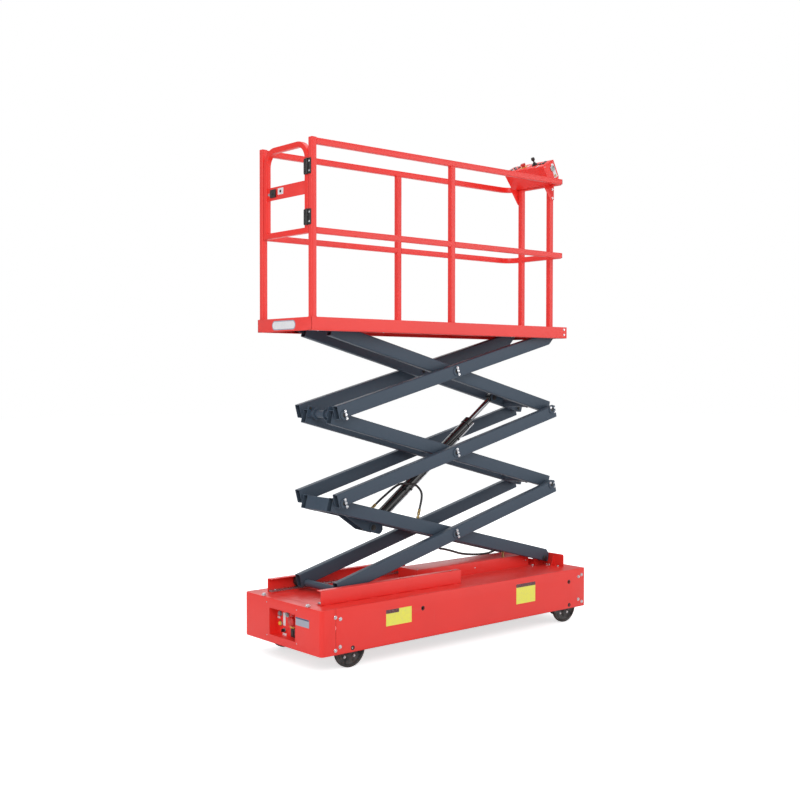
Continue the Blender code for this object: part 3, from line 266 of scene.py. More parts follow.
def printed(name, colour):
    """A printed vinyl label: slightly uneven ink under a clear film."""
    shades, gloss = (colour, shade(colour, 0.85, 0.06)), (0.15, 0.26, 120, 2)
    return worn(name, 0, 0.35, (70, 4, 0.4, 0.75), shades, gloss, ((260, 2), 0.05, 0.0004))


# name: (record slot, maker, its values)
FINISHES = {
    "red": ("red_paint", powder_coat, "red_powder_coat", "red", 0.36, 0.08, 0.4),
    "grey": ("grey_paint", powder_coat, "anthracite_powder_coat", "grey", 0.42, 0.0, 0.22),
    "gloss black": ("black_paint", worn, "gloss_black_enamel", 0, 0.6, (14, 5, 0.45, 0.8, 0, 0.12),
        ((0.006, 0.006, 0.007), (0.09, 0.085, 0.08)), (0.14, 0.10, 30, 4), ((160, 2), 0.03, 0.002)),
    "frame black": ("black_paint", worn, "satin_black_paint", 0, 0, (11, 6, 0.40, 0.75, 0, 0.4),
        ((0.012, 0.012, 0.013), (0.10, 0.09, 0.075)), (0.5, 0.42), ((240, 3), 0.10, 0.002)),
    # bright plated fasteners, a little clouded
    "zinc": ("steel", worn, "bright_zinc", 1, 0, (160, 4, 0.35, 0.7),
        ((0.80, 0.80, 0.82), (0.52, 0.53, 0.55)), (0.22, 0.16), ((900, 2), 0.05, 0.0005)),
    # turned bars: fine rings, with a thin film of grease and dirt
    "steel": ("steel", worn, "turned_steel", 0.9, 0, (35, 6, 0.45, 0.75),
        ((0.46, 0.47, 0.49), (0.12, 0.11, 0.10)), (0.35, 0.22), ((500, 2, (1, 8, 1)), 0.06, 0.0006)),
    # a ground rod with a breath of oil; its base colour is kept dark as a painted reflection, standing in for dark
    # surroundings mirrored in the rod
    "chrome": ("chrome", worn, "ground_chrome", 1, 0.5, (22, 4, 0.45, 0.8, 0, 0.4),
        ((0.22, 0.22, 0.23), (0.12, 0.12, 0.11)), (0.25, 0.05), ((700, 1), 0.012, 0.0004)),
    "brass": ("brass", worn, "yellow_plated_brass", 1, 0, (90, 5, 0.4, 0.7),
        ((0.46, 0.34, 0.15), (0.25, 0.18, 0.09)), (0.25, 0.22), ((600, 2), 0.06, 0.0005)),
    # wrapped hose cover: a fine cloth print, with dust
    "rubber": ("rubber", worn, "hose_rubber", 0, 0, (40, 5, 0.5, 0.8, 0, 0.3),
        ((0.010, 0.010, 0.011), (0.11, 0.10, 0.09)), (0.5, 0.40), ((300, 2), 0.20, 0.0006), 900),
    "black plastic": ("black_plastic", worn, "moulded_black", 0, 0, (60, 4, 0.4, 0.8),
        ((0.014, 0.014, 0.015), (0.045, 0.043, 0.042)), (0.2, 0.38, 80, 3), ((1500, 2), 0.12, 0.0004)),
    "glass": ("black_plastic", worn, "gauge_glass", 0, 1, (30, 2, 0.3, 0.7),
        ((0.16, 0.21, 0.19), (0.24, 0.29, 0.27)), (0.08, 0.06, 60, 2), ((90, 1), 0.01, 0.0004)),
    "red plastic": ("red_plastic", moulded, "red_moulding", (0.60, 0.012, 0.010)),
    "yellow plastic": ("red_plastic", moulded, "yellow_moulding", (0.80, 0.46, 0.04)),
    "grey plastic": ("black_plastic", moulded, "grey_moulding", (0.22, 0.27, 0.27)),
    "white label": ("black_plastic", printed, "white_label", (0.78, 0.78, 0.80)),
    "blue label": ("black_plastic", printed, "pale_blue_label", (0.36, 0.38, 0.46)),
    "dark label": ("black_plastic", printed, "dark_label", (0.10, 0.025, 0.030)),
    "navy label": ("black_plastic", printed, "navy_label", (0.030, 0.045, 0.14)),
    "yellow label": ("black_plastic", printed, "yellow_label", (0.88, 0.84, 0.09)),
    "iron": ("cast_iron", cast_iron),
}
_made = {}


def finish_of(name):
    if name not in _made:
        _, maker, *values = FINISHES[name]
        _made[name] = maker(*values)
    return _made[name]


# ---- shapes
def skin(size, count, closed=False):
    """Faces that join a number of rings of points, and the caps at both ends unless closed."""
    faces = []
    for i in range(count if closed else count - 1):
        one, two = i * size, (i + 1) % count * size
        faces += [(one + k, one + (k + 1) % size, two + (k + 1) % size, two + k) for k in range(size)]
    return faces if closed else faces + [tuple(range(size)), tuple(range((count - 1) * size, count * size))]


def prism(outline, low, high, axis="Y"):
    """An outline run along an axis. Its points are (x, z) along Y, (y, z) along X and (x, y) along Z."""
    order = {"X": (2, 0, 1), "Y": (0, 2, 1), "Z": (0, 1, 2)}[axis]
    points = [tuple((a, b, end)[i] for i in order) for end in sorted((low, high)) for a, b in outline]
    faces = skin(len(outline), 2)
    return points, faces[-2:] + faces[:-2]


def rect(a0, b0, a1, b1):
    return [(a0, b0), (a1, b0), (a1, b1), (a0, b1)]


def block(x, y, z):
    """A box from three (low, high) pairs, in either order."""
    (x0, x1), (z0, z1) = sorted(x), sorted(z)
    return prism(rect(x0, z0, x1, z1), *y)


def turned(profile, centre, direction, sides=32):
    """An (along, radius) profile turned about a line through the centre. A radius of 0 is on the line."""
    line = Vector(direction).normalized()
    side = line.orthogonal().normalized()
    other = line.cross(side)
    rings, points = [], []
    for along, radius in profile:
        turns = [2 * pi * i / sides for i in range(sides)] if radius > 0 else [0.0]
        rings.append(range(len(points), len(points) + len(turns)))
        points += [Vector(centre) + line * along + (side * cos(turn) + other * sin(turn)) * radius for turn in turns]
    faces = []
    for one, two in list(zip(rings, rings[1:])) + ([(rings[-1], rings[0])] if profile[0][1] > 0 else []):
        for i in range(sides):
            j = (i + 1) % sides
            corners = (one[i % len(one)], one[j % len(one)], two[j % len(two)], two[i % len(two)])
            corners = list(dict.fromkeys(corners))
            if len(corners) > 2:
                faces.append(corners)
    return points, faces


def ring(centre, direction, outer, inner, thick, sides=32, edge=0.0008):
    """A flat ring with broken edges."""
    edge = min(edge, thick / 3, (outer - inner) / 3)
    profile = [(0, inner), (0, outer - edge), (edge, outer), (thick - edge, outer), (thick, outer - edge)]
    return turned([*profile, (thick, inner)], centre, direction, sides)


def disc(centre, direction, radius, thick, edge=0.0008, sides=24):
    """A round plate or bar with broken edges."""
    return ring(centre, direction, radius, 0, thick, sides, edge)


def mirrored(profile, total=0.0):
    """A profile's first half with its second half, the same backward."""
    return [*profile, *((total - along, radius) for along, radius in reversed(profile))]


def shifted(start, profile, way=1):
    """A profile moved along its line, or turned round too."""
    return [(start + way * along, radius) for along, radius in profile]


def bar(centre, direction, reach, radius, bore=0.0, sides=32):
    """A round bar, or a sleeve, to both sides of its centre, with its ends chamfered."""
    half = [(-reach, bore), (-reach, radius - 0.002), (-reach + 0.002, radius)]
    return turned(mirrored(half), centre, direction, sides)


def circle(count):
    """Points round a unit circle."""
    return [(cos(2 * pi * i / count), sin(2 * pi * i / count)) for i in range(count)]


def arc(centre, radius, start, end, steps):
    """Points of an arc in a plane, from one angle to another in degrees."""
    turns = [radians(start + (end - start) * i / steps) for i in range(steps + 1)]
    return [(centre[0] + radius * cos(turn), centre[1] + radius * sin(turn)) for turn in turns]


def rounded(outline, radius, steps=3):
    """An outline with its corners turned to arcs. radius may be one number or one for each corner."""
    count = len(outline)
    found = []
    for i, size in enumerate(radius if hasattr(radius, "__len__") else [radius] * count):
        here = Vector(outline[i])
        if not size:
            found.append(tuple(here))
            continue
        before, after = Vector(outline[i - 1]) - here, Vector(outline[(i + 1) % count]) - here
        a, b = before.normalized(), after.normalized()
        half = a.angle(b) / 2
        reach = min(size / max(tan(half), 1e-6), before.length * 0.49, after.length * 0.49)
        middle = here + (a + b).normalized() * (reach * tan(half) / sin(half))
        start, end = here + a * reach - middle, here + b * reach - middle
        turn = atan2(start.cross(end), start.dot(end))
        for c, s in ((cos(turn * k / steps), sin(turn * k / steps)) for k in range(steps + 1)):
            found.append((middle.x + start.x * c - start.y * s, middle.y + start.x * s + start.y * c))
    return found


def swept(section, path, up, closed=False):
    """A section of (side, up) points run along a path, mitred where the path turns."""
    path = [Vector(point) for point in path]
    count, points = len(path), []
    for i, place in enumerate(path):
        before = path[i] - path[i - 1] if closed or i > 0 else path[1] - path[0]
        after = path[(i + 1) % count] - path[i] if closed or i < count - 1 else before
        before, after = before.normalized().cross(up), after.normalized().cross(up)
        middle = (before + after).normalized()
        stretch = 1 / middle.dot(after.normalized())
        points += [place + middle * (a * stretch) + up * b for a, b in section]
    return points, skin(len(section), count, closed)


def pipe(path, radii, sides=12):
    """A round bar along a free path. radii is one number or one for each point."""
    path = [Vector(point) for point in path]
    radii = radii if hasattr(radii, "__len__") else [radii] * len(path)
    points = []
    side = (path[1] - path[0]).orthogonal().normalized()
    for i, place in enumerate(path):
        way = (path[min(i + 1, len(path) - 1)] - path[max(i - 1, 0)]).normalized()
        side = (side - way * side.dot(way)).normalized()
        other = way.cross(side)
        points += [place + (side * a + other * b) * radii[i] for a, b in circle(sides)]
    return points, skin(sides, len(path))


def smooth_route(route, step):
    """Points about a step apart along a Catmull-Rom curve through the route."""
    route = [Vector(point) for point in route]
    ends = [2 * route[0] - route[1], *route, 2 * route[-1] - route[-2]]
    found = [route[0]]
    for i in range(len(route) - 1):
        p0, p1, p2, p3 = ends[i : i + 4]
        pieces = max(1, round((p2 - p1).length / step))
        for t in (k / pieces for k in range(1, pieces + 1)):
            curve = 2 * p1 + (p2 - p0) * t + (2 * p0 - 5 * p1 + 4 * p2 - p3) * t**2
            found.append(0.5 * (curve + (3 * p1 - p0 - 3 * p2 + p3) * t**3))
    return found


def new_object(name, mesh):
    made = bpy.data.objects.new(name, mesh)
    bpy.context.scene.collection.objects.link(made)
    return made


class Piece:
    """One shown piece, built up from closed solids."""

    def __init__(self, place=None):
        self.work = bmesh.new()
        self.place = place or Matrix.Identity(4)

    def add(self, *solids, edge=0.0, steps=2, place=None):
        """Adds solids given as points and faces, with their sharp edges rounded."""
        for points, faces in solids:
            made = bmesh.new()
            corners = [made.verts.new(point) for point in points]
            for face in faces:
                made.faces.new([corners[i] for i in face])
            bmesh.ops.recalc_face_normals(made, faces=made.faces)
            if edge:
                sharp = [e for e in made.edges if e.calc_face_angle(0.0) > SHARP]
                how = {"offset": edge, "segments": steps, "affect": "EDGES", "profile": 0.5, "clamp_overlap": True}
                bmesh.ops.bevel(made, geom=sharp, **how)
            bmesh.ops.transform(made, matrix=self.place @ (place or Matrix.Identity(4)), verts=made.verts)
            mesh = bpy.data.meshes.new("solid")
            made.to_mesh(mesh)
            made.free()
            self.work.from_mesh(mesh)
            bpy.data.meshes.remove(mesh)
        return self

    def mesh(self, name):
        """What was added so far, as a mesh."""
        mesh = bpy.data.meshes.new(name)
        self.work.to_mesh(mesh)
        return mesh

    def cut(self, *solids):
        """Cuts solids out of all that was added so far."""
        cutters = (Piece(self.place).add(solid) for solid in solids)
        base, *tools = (new_object("cut", piece.mesh("cut")) for piece in (self, *cutters))
        for tool in tools:
            modifier = base.modifiers.new("cut", "BOOLEAN")
            modifier.operation, modifier.solver, modifier.object = "DIFFERENCE", "EXACT", tool
        made = bpy.data.meshes.new_from_object(base.evaluated_get(bpy.context.evaluated_depsgraph_get()))
        for holder in (base, *tools):
            bpy.data.meshes.remove(holder.data)
        self.work.clear()
        self.work.from_mesh(made)
        bpy.data.meshes.remove(made)
        return self

    def show(self, name, finish, ridden, *replaced):
        """The finished piece: its material, the body it rides on and the nodes it stands for."""
        mesh = self.mesh(name)
        self.work.free()
        mesh.materials.append(finish_of(finish))
        mesh.shade_smooth()
        mesh.set_sharp_from_angle(angle=SHARP)
        made = new_object(name, mesh)
        if ridden:
            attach(made, ridden)
        if replaced:
            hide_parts(*replaced)
        return made


# ---- small parts
def facing(direction, place):
    """A matrix that turns +Z to a direction and moves to a place."""
    return Matrix.Translation(Vector(place)) @ Vector(direction).to_track_quat("Z", "Y").to_matrix().to_4x4()


def hexagon(radius, low, high):
    """A six-sided nut or head."""
    return prism([(radius * a, radius * b) for a, b in circle(6)], low, high, "Z")


def bolt(piece, place, direction, size=None, washer=True):
    """A hexagon bolt head on its washer."""
    size = size or settings().bolt
    here = facing(direction, place)
    base = size * 0.2 if washer else 0.0
    if washer:
        piece.add(disc((0, 0, 0), Z, size * 1.45, size * 0.22, sides=20), place=here)
    piece.add(hexagon(size * 1.08, base, base + size * 0.72), edge=size * 0.10, steps=1, place=here)
    piece.add(disc((0, 0, base + size * 0.70), Z, size * 0.82, size * 0.09, sides=18), place=here)


def dome(piece, place, direction, size):
    """A round-headed screw with a socket."""
    profile = [(0, 0), (0, 1), (0.14, 1), (0.40, 0.86), (0.56, 0.55), (0.60, 0.36), (0.30, 0.30), (0.30, 0)]
    head = turned([(a * size, b * size) for a, b in profile], (0, 0, 0), Z, 20)
    piece.add(head, place=facing(direction, place))


def bead(piece, path, radius=None, closed=False):
    """A weld bead along a path, with its ripples."""
    radius = radius or settings().weld
    path = [Vector(point) for point in path]
    if closed:
        path.append(path[0])
    fine, sizes = [], []
    for a, b in zip(path, path[1:]):
        count = max(2, round((b - a).length / (radius * 0.9)))
        for k in range(count):
            fine.append(a.lerp(b, k / count))
            sizes.append(radius * (1.0 if len(sizes) % 2 else 0.82))
    piece.add(pipe([*fine, path[-1]], [*sizes, radius * 0.8], 7))


def round_bead(piece, centre, one, other, radius, count, size):
    """A weld bead round a circle that lies in the plane of two directions."""
    bead(piece, [Vector(centre) + (one * a + other * b) * radius for a, b in circle(count)], size, True)


def label(name, box, ridden, finish="white label", corner=0.004):
    """A blank label as a thin plate. box is three (low, high) pairs, thinnest across its face."""
    lengths = [abs(high - low) for low, high in box]
    thin = lengths.index(min(lengths))
    (a0, a1), (b0, b1) = (sorted(box[i]) for i in range(3) if i != thin)
    outline = rounded(rect(a0, b0, a1, b1), corner, 3)
    Piece().add(prism(outline, *box[thin], "XYZ"[thin])).show(name, finish, ridden)


# ---- places from the frame
def joint_place(name):
    return Vector(JOINTS[name]["pos_m"])


LIFT = joint_place("lift")
MIDDLE = joint_place("middle_pivot_1")
HALF_ARM = (MIDDLE - LIFT).length
ARM_TILT = atan2(MIDDLE.z - LIFT.z, LIFT.x - MIDDLE.x)
STAGE_RISE = 2 * (MIDDLE.z - LIFT.z)
ARM_HALF, ARM_WALL, ARM_OVER = 0.045, 0.005, 0.040  # half the height, the wall, and what is past the end pins
TUBE_TILT = asin(0.025 / HALF_ARM)  # the end pins are 25 mm from the tube's middle line
OUTER_Y = (0.181, 0.231)
INNER_Y = (0.114, 0.164)


def inner_place(stage):
    """The frame of an inner arm: X along it toward the right pin, which is its origin."""
    return Matrix.Translation(LIFT + Z * STAGE_RISE * (stage - 1)) @ Matrix.Rotation(ARM_TILT, 4, "Y")


def outer_place(stage):
    """The frame of an outer arm: X along it toward the right, with the middle pin as its origin."""
    return Matrix.Translation(MIDDLE + Z * STAGE_RISE * (stage - 1)) @ Matrix.Rotation(-ARM_TILT, 4, "Y")


def about(x, angle):
    """A turn round the Y axis through a point on X."""
    there = Matrix.Translation((x, 0, 0))
    return there @ Matrix.Rotation(angle, 4, "Y") @ there.inverted()


class Maker(bpy.types.Operator):
    """Runs the steps of one group of pieces"""

    bl_options = {"REGISTER"}
    steps = ()

    def execute(self, context):
        for step in self.steps:
            step()
        return {"FINISHED"}


# ---- stage
def aimed(name, data, place, way, roll=0.0):
    """A camera or lamp at a place, looking along a direction."""
    made = new_object(name, data)
    made.location = place
    made.rotation_mode = "QUATERNION"
    made.rotation_quaternion = Vector(way).to_track_quat("-Z", "Y") @ Matrix.Rotation(roll, 4, "Z").to_quaternion()
    return made


def camera():
    scene = bpy.context.scene
    scene.view_settings.view_transform = "Standard"
    data = bpy.data.cameras.new("camera")
    data.lens = 50.71
    data.clip_end = 200
    turn, tilt, roll = radians(-40.62), radians(1.25), radians(0.06)
    back = Vector((sin(turn) * cos(tilt), -cos(turn) * cos(tilt), sin(tilt)))
    scene.camera = aimed("camera", data, (-5.2978, -5.9065, 1.8335), -back, roll)


def lamps():
    """A large soft key from the near left, a fill, and a high lamp over the top."""
    for name, place, size, power in (
        ("key", (-5.5, -6.5, 6.0), 5.0, 330),
        ("fill", (5.0, -6.0, 3.0), 5.0, 130),
        ("top", (0.5, 1.0, 8.5), 6.0, 230),
        ("front", (-7.5, 1.5, 2.5), 4.0, 95),
        ("behind", (3.5, 6.0, 4.0), 5.0, 80),
    ):
        data = bpy.data.lights.new(name, "AREA")
        data.size, data.energy = size, power
        aimed(name, data, place, Vector((0, 0, 1.7)) - Vector(place))


def floor():
    """A pale floor that keeps the object's shadow."""
    mesh = bpy.data.meshes.new("floor")
    mesh.from_pydata([(a, b, 0) for a, b in rect(-40, -40, 40, 40)], [], [(0, 1, 2, 3)])
    made = Finish("pale_floor", (0.90, 0.90, 0.90), 0.9)
    seen = made.node("ShaderNodeLightPath", out="Is Camera Ray")
    made.put("Emission Color", made.mixed(seen, (0, 0, 0), (1, 1, 1)))
    made.put("Emission Strength", 0.66)
    mesh.materials.append(made.material)
    new_object("floor", mesh)


def world():
    """White as seen and as mirrored, plain soft grey as light."""
    made = bpy.context.scene.world = bpy.data.worlds.new("world")
    made.use_nodes = True
    nodes, links = made.node_tree.nodes, made.node_tree.links
    light, seen = nodes["Background"], nodes.new("ShaderNodeBackground")
    path, mix = nodes.new("ShaderNodeLightPath"), nodes.new("ShaderNodeMixShader")
    light.inputs["Color"].default_value = (0.95, 0.97, 1.0, 1.0)
    light.inputs["Strength"].default_value = 0.42
    seen.inputs["Color"].default_value = (1.0, 1.0, 1.0, 1.0)
    for i, source in enumerate((path.outputs["Is Camera Ray"], light.outputs[0], seen.outputs[0])):
        links.new(source, mix.inputs[i])
    links.new(mix.outputs[0], nodes["World Output"].inputs["Surface"])


class LIFT_OT_stage(Maker):
    """Camera, lamps, floor and world"""

    bl_idname = "lift.stage"
    bl_label = "Stage"
    steps = (camera, lamps, floor, world)


# ---- hoses
UPPER_HOSE = (
    (-0.472, 0.0, 0.941), (-0.45267, 0.0, 0.95523), (-0.402, -0.030, 1.010), (-0.312, -0.078, 1.088),
    (-0.216, -0.096, 1.088), (-0.176, -0.108, 1.076), (-0.146, -0.122, 1.036), (-0.150, -0.134, 0.990),
    (-0.17427, -0.139, 0.91459), (-0.18032, -0.139, 0.89136),
)
LOWER_HOSE = (
    (0.01257, -0.139, 0.67578), (0.00652, -0.139, 0.65255), (0.008, -0.138, 0.636), (0.024, -0.1355, 0.625),
    (0.060, -0.130, 0.618), (0.140, -0.116, 0.597), (0.270, -0.100, 0.560), (0.420, -0.088, 0.538),
    (0.545, -0.083, 0.534), (0.622, -0.081, 0.548), (0.664, -0.080, 0.557), (0.693, -0.080, 0.547),
    (0.706, -0.080, 0.526), (0.707, -0.080, 0.503),
)


def hoses():
    radius = settings().hose / 2
    for name, route, bodies in (
        ("hose_upper", UPPER_HOSE, ("inner_1", "cylinder_barrel")),
        ("hose_lower", LOWER_HOSE, ("chassis", "inner_1")),
    ):
        path = smooth_route(route, 0.008)
        length = sum((b - a).length for a, b in zip(path, path[1:]))
        made = Piece().add(pipe(path, radius, 20)).show(f"{name}_tube", "rubber", None, name)
        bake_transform(made)


def hose_end(name, place, way, length, ridden, *replaced):
    """A hexagon union and its seat, with a crimped ferrule over the hose's end."""
    here = facing(Vector(way).normalized(), place)
    union, radius = Piece(), settings().hose / 2
    union.add(hexagon(0.0112, 0.0, min(0.014, length * 0.6)), edge=0.001, steps=1, place=here)
    stem = [(0, 0), (0, 0.0075), (length - 0.008, 0.0075), (length - 0.008, 0.0095), (length, 0.0095), (length, 0)]
    union.add(turned(stem, (0, 0, 0), Z, 28), place=here)
    if length > 0.028:
        union.add(hexagon(0.0120, length - 0.016, length - 0.003), edge=0.001, steps=1, place=here)
    union.show(f"{name}_union", "brass", ridden, *replaced)
    profile = [(-0.026, radius + 0.0002), (-0.026, radius + 0.0018)]
    for start in (-0.024 + k * 0.0046 for k in range(5)):
        profile += [(start, radius + 0.0024), (start + 0.0030, radius + 0.0024), (start + 0.0036, radius + 0.0012)]
    profile += [(-0.001, radius + 0.0022), (0.0005, radius + 0.0012), (0.0005, 0.004)]
    profile += [(-0.010, 0.004), (-0.010, radius + 0.0002)]
    ferrule = Piece().add(turned(profile, (0, 0, 0), Z, 28), place=here)
    ferrule.show(f"{name}_ferrule", "brass", ridden)


def fittings():
    upper, lower = ([Vector(point) for point in route] for route in (UPPER_HOSE, LOWER_HOSE))
    hose_end("arm_upper", upper[-1], upper[-1] - upper[-2], 0.040, "inner_1", "arm_fitting_upper")
    hose_end("arm_lower", lower[0], lower[0] - lower[1], 0.030, "inner_1", "arm_fitting_lower")
    hose_end("deck", lower[-1], -Z, 0.0155, "chassis", "deck_fitting")
    hose_end("barrel", upper[0], upper[0] - upper[1], 0.045, "cylinder_barrel")


class LIFT_OT_hoses(Maker):
    """Both hydraulic hoses"""

    bl_idname = "lift.hoses"
    bl_label = "Hoses"
    steps = (hoses,)


class LIFT_OT_fittings(Maker):
    """The fittings and ferrules at the hoses' ends"""

    bl_idname = "lift.fittings"
    bl_label = "Hose fittings"
    steps = (fittings,)


# ---- chassis
SHEET = 0.003
SEAM = 0.0012
CORNER = 0.026
FLANGE_END = -1.131  # the front cover's top flange ends here, before the tracks
PANEL_HOLES = ((-0.980, 0.140), (-0.396, 0.309), (1.050, 0.310), (1.054, 0.139))
COVER_BOLTS = (
    (-1.115, 0.347), (-1.077, 0.333), (-1.079, 0.161), (-1.115, 0.143),
    (1.157, 0.337), (1.190, 0.348), (1.154, 0.169), (1.193, 0.147),
)


def front_cover():
    """A sheet folded round both corners and over the deck, with the window of the controls."""
    low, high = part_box("front_cover")
    edge = settings().edge
    top = high.z + edge / 2

    def wrap(shrink, end):
        """The cover's outline from above, open to the rear, moved in by an amount."""
        x, y, radius = low.x + shrink, high.y - shrink, CORNER - shrink
        around = [(end, -y), *reversed(arc((x + radius, -y + radius), radius, 180, 270, 10))]
        return [*around, *reversed(arc((x + radius, y - radius), radius, 90, 180, 10)), (end, y)]

    piece = Piece().add(prism(wrap(0, high.x), low.z, top, "Z"), edge=2 * edge, steps=3)
    a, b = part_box("control_recess")
    corners = rect(a.y + SHEET, a.z + SHEET, b.y - SHEET, b.z - SHEET)
    window = rounded(corners, 0.004, 4)
    over = block((FLANGE_END, high.x + 0.1), (-0.5, 0.5), (top - SHEET - 0.001, top + 0.01))
    hollow = prism(wrap(SHEET, high.x + 0.1), low.z - 0.01, top - SHEET, "Z")
    piece.cut(hollow, prism(window, low.x - 0.02, low.x + 0.02, "X"), over)
    lip = Piece().add(prism(window, low.x - 0.0012, low.x + 0.004, "X"))
    lip.cut(prism(rounded([(y * 0.988, 0.25 + (z - 0.25) * 0.980) for y, z in corners], 0.004, 4), -2, 0, "X"))
    piece.show("front_cover_sheet", "red", "chassis", "front_cover")
    lip.show("recess_lip", "red", "chassis")


def side_panels():
    for name, side in SIDES.items():
        low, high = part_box(f"side_panel_{name}")
        outside = low.y if side < 0 else high.y
        panel = block((low.x + SEAM, high.x), (low.y, high.y), (low.z, high.z))
        piece = Piece().add(panel, edge=settings().edge, steps=3)
        piece.cut(*(disc((x, side * 0.6, z), -Y * side, 0.009, 0.3) for x, z in PANEL_HOLES))
        grommets = (ring((x, outside, z), Y * side, 0.0145, 0.0085, 0.0014) for x, z in PANEL_HOLES)
        Piece().add(*grommets).show(f"side_grommets_{name}", "rubber", "chassis")
        foot = block((low.x + 0.01, high.x - 0.01), (outside, outside - side * 0.022), (low.z, low.z + SHEET))
        piece.add(foot, edge=settings().edge / 2)
        piece.show(f"side_panel_{name}_sheet", "red", "chassis", f"side_panel_{name}")


def rear_cover():
    low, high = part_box("rear_cover")
    outline = rounded(rect(low.y, low.z, high.y, high.z), 0.003)
    piece = Piece().add(prism(outline, low.x, high.x, "X"), edge=settings().edge)
    slots = []
    for side, row in product(WAYS, range(5)):
        y, z = side * 0.19, 0.20 + row * 0.026
        slot = rounded(rect(y - 0.07, z - 0.005, y + 0.07, z + 0.005), 0.0049, 5)
        slots.append(prism(slot, low.x - 0.01, high.x + 0.01, "X"))
    piece.cut(*slots).show("rear_cover_sheet", "red", "chassis", "rear_cover")


def deck():
    low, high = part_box("deck_plate")
    start = FLANGE_END + SEAM
    piece = Piece().add(block((start, high.x), (low.y, high.y), (low.z, high.z)), edge=settings().edge, steps=3)
    piece.add(block((low.x + 0.02, start + 0.02), (low.y + 0.03, high.y - 0.03), (low.z - 0.004, low.z - 0.0005)))
    piece.show("deck_sheet", "red", "chassis", "deck_plate")


def raised_cover():
    """The folded cover over the lines in the middle, with a flange along each foot."""
    low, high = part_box("centre_cover")
    section = rounded(rect(low.y, low.z, high.y, high.z), (0, 0, 0.006, 0.006), 5)
    piece = Piece().add(prism(section, low.x, high.x, "X"), edge=settings().edge)
    for side, y in zip(WAYS, (low.y, high.y)):
        piece.add(block((low.x, high.x), (y, y + side * 0.012), (low.z, low.z + 0.002)), edge=0.0006)
    piece.show("raised_cover_sheet", "red", "chassis", "centre_cover")
    screws = Piece()
    for x, side in product((low.x + 0.03, (low.x + high.x) / 2, high.x - 0.03), WAYS):
        dome(screws, (x, side * high.y, low.z + 0.045), Y * side, 0.0045)
    for x, y in product((low.x + 0.03, high.x - 0.03), (-0.07, 0.07)):
        dome(screws, (x, y, high.z), Z, 0.0045)
    screws.show("raised_cover_screws", "zinc", "chassis")


def cover_bolts():
    piece = Piece()
    low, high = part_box("front_cover")
    for (x, z), side in product(COVER_BOLTS, WAYS):
        bolt(piece, (x, side * high.y, z), Y * side)
    for z, y in product((0.368, 0.155), (-0.166, 0.166)):
        dome(piece, (low.x, y, z), -X, 0.0040)
    for y in (0.218, -0.266):
        place = Vector((low.x + 0.014, y, high.z))
        piece.add(disc(place, Z, 0.0080, 0.008))
        bolt(piece, place + Z * 0.007, Z, 0.0115)
    for y, z in product((-0.36, 0.0, 0.36), (0.16, 0.36)):
        bolt(piece, (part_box("rear_cover")[1].x, y, z), X, 0.0080)
    piece.show("cover_bolts", "zinc", "chassis")


class LIFT_OT_covers(Maker):
    """The chassis: front and rear covers, side panels, deck and the raised cover"""

    bl_idname = "lift.covers"
    bl_label = "Chassis covers"
    steps = (front_cover, side_panels, rear_cover, deck, raised_cover, cover_bolts)


def chassis_frame():
    node = frame["nodes"]["chassis_frame"]
    node.data.materials.clear()
    node.data.materials.append(finish_of("frame black"))
    node.modifiers.new("edges", "BEVEL").width = 0.0015


def batteries():
    """Battery cases in a row on a tray, with ribs and lids."""
    low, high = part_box("power_pack")
    cases, lids, tray = Piece(), Piece(), Piece()
    tray.add(block((low.x, high.x), (low.y, high.y), (low.z, low.z + 0.004)), edge=0.001)
    for side in WAYS:
        wall = (side * high.y, side * (high.y - 0.003))
        tray.add(block((low.x, high.x), wall, (low.z, low.z + 0.03)), edge=0.001)
    count, gap = 5, 0.010
    long = (high.x - low.x - gap) / count - gap
    for x in (low.x + gap + i * (long + gap) for i in range(count)):
        body = ((x, x + long), (low.y + 0.012, high.y - 0.012))
        cases.add(block(*body, (low.z + 0.004, high.z - 0.028)), edge=0.004)
        lids.add(block(*body, (high.z - 0.027, high.z - 0.002)), edge=0.003)
        for k, side in product(range(6), WAYS):
            rib = x + long * (k + 0.5) / 6
            y = (side * (high.y - 0.012), side * (high.y - 0.009))
            cases.add(block((rib - 0.003, rib + 0.003), y, (low.z + 0.010, high.z - 0.040)), edge=0.001)
    cases.show("battery_cases", "black plastic", "chassis", "power_pack")
    lids.show("battery_lids", "grey plastic", "chassis")
    tray.show("battery_tray", "frame black", "chassis")


def axle_blocks():
    """Bolts and a grease nipple under each axle bearing, and the welds of the cross members."""
    piece, welds = Piece(), Piece()
    for joint, side in product(("front_axle_spin", "rear_axle_spin"), WAYS):
        axle = joint_place(joint)
        for x in (-0.028, 0.028):
            bolt(piece, (axle.x + x, side * 0.195, axle.z - 0.022), -Z, 0.0065)
        dome(piece, (axle.x, side * 0.177, axle.z - 0.018), -Y * side, 0.004)
    for x, side, way, y in product((-1.125, -0.700, 0.050, 0.800), WAYS, WAYS, (0.170, 0.220)):
        bead(welds, [(x + way * 0.025, side * y, z) for z in (0.152, 0.198)])
    piece.show("axle_block_bolts", "zinc", "chassis")
    welds.show("frame_welds", "frame black", "chassis")


class LIFT_OT_undercarriage(Maker):
    """The frame and the batteries under the deck"""

    bl_idname = "lift.undercarriage"
    bl_label = "Undercarriage"
    steps = (chassis_frame, batteries, axle_blocks)


# ---- tracks and base hinge
WALL = 0.005  # of the roller tracks


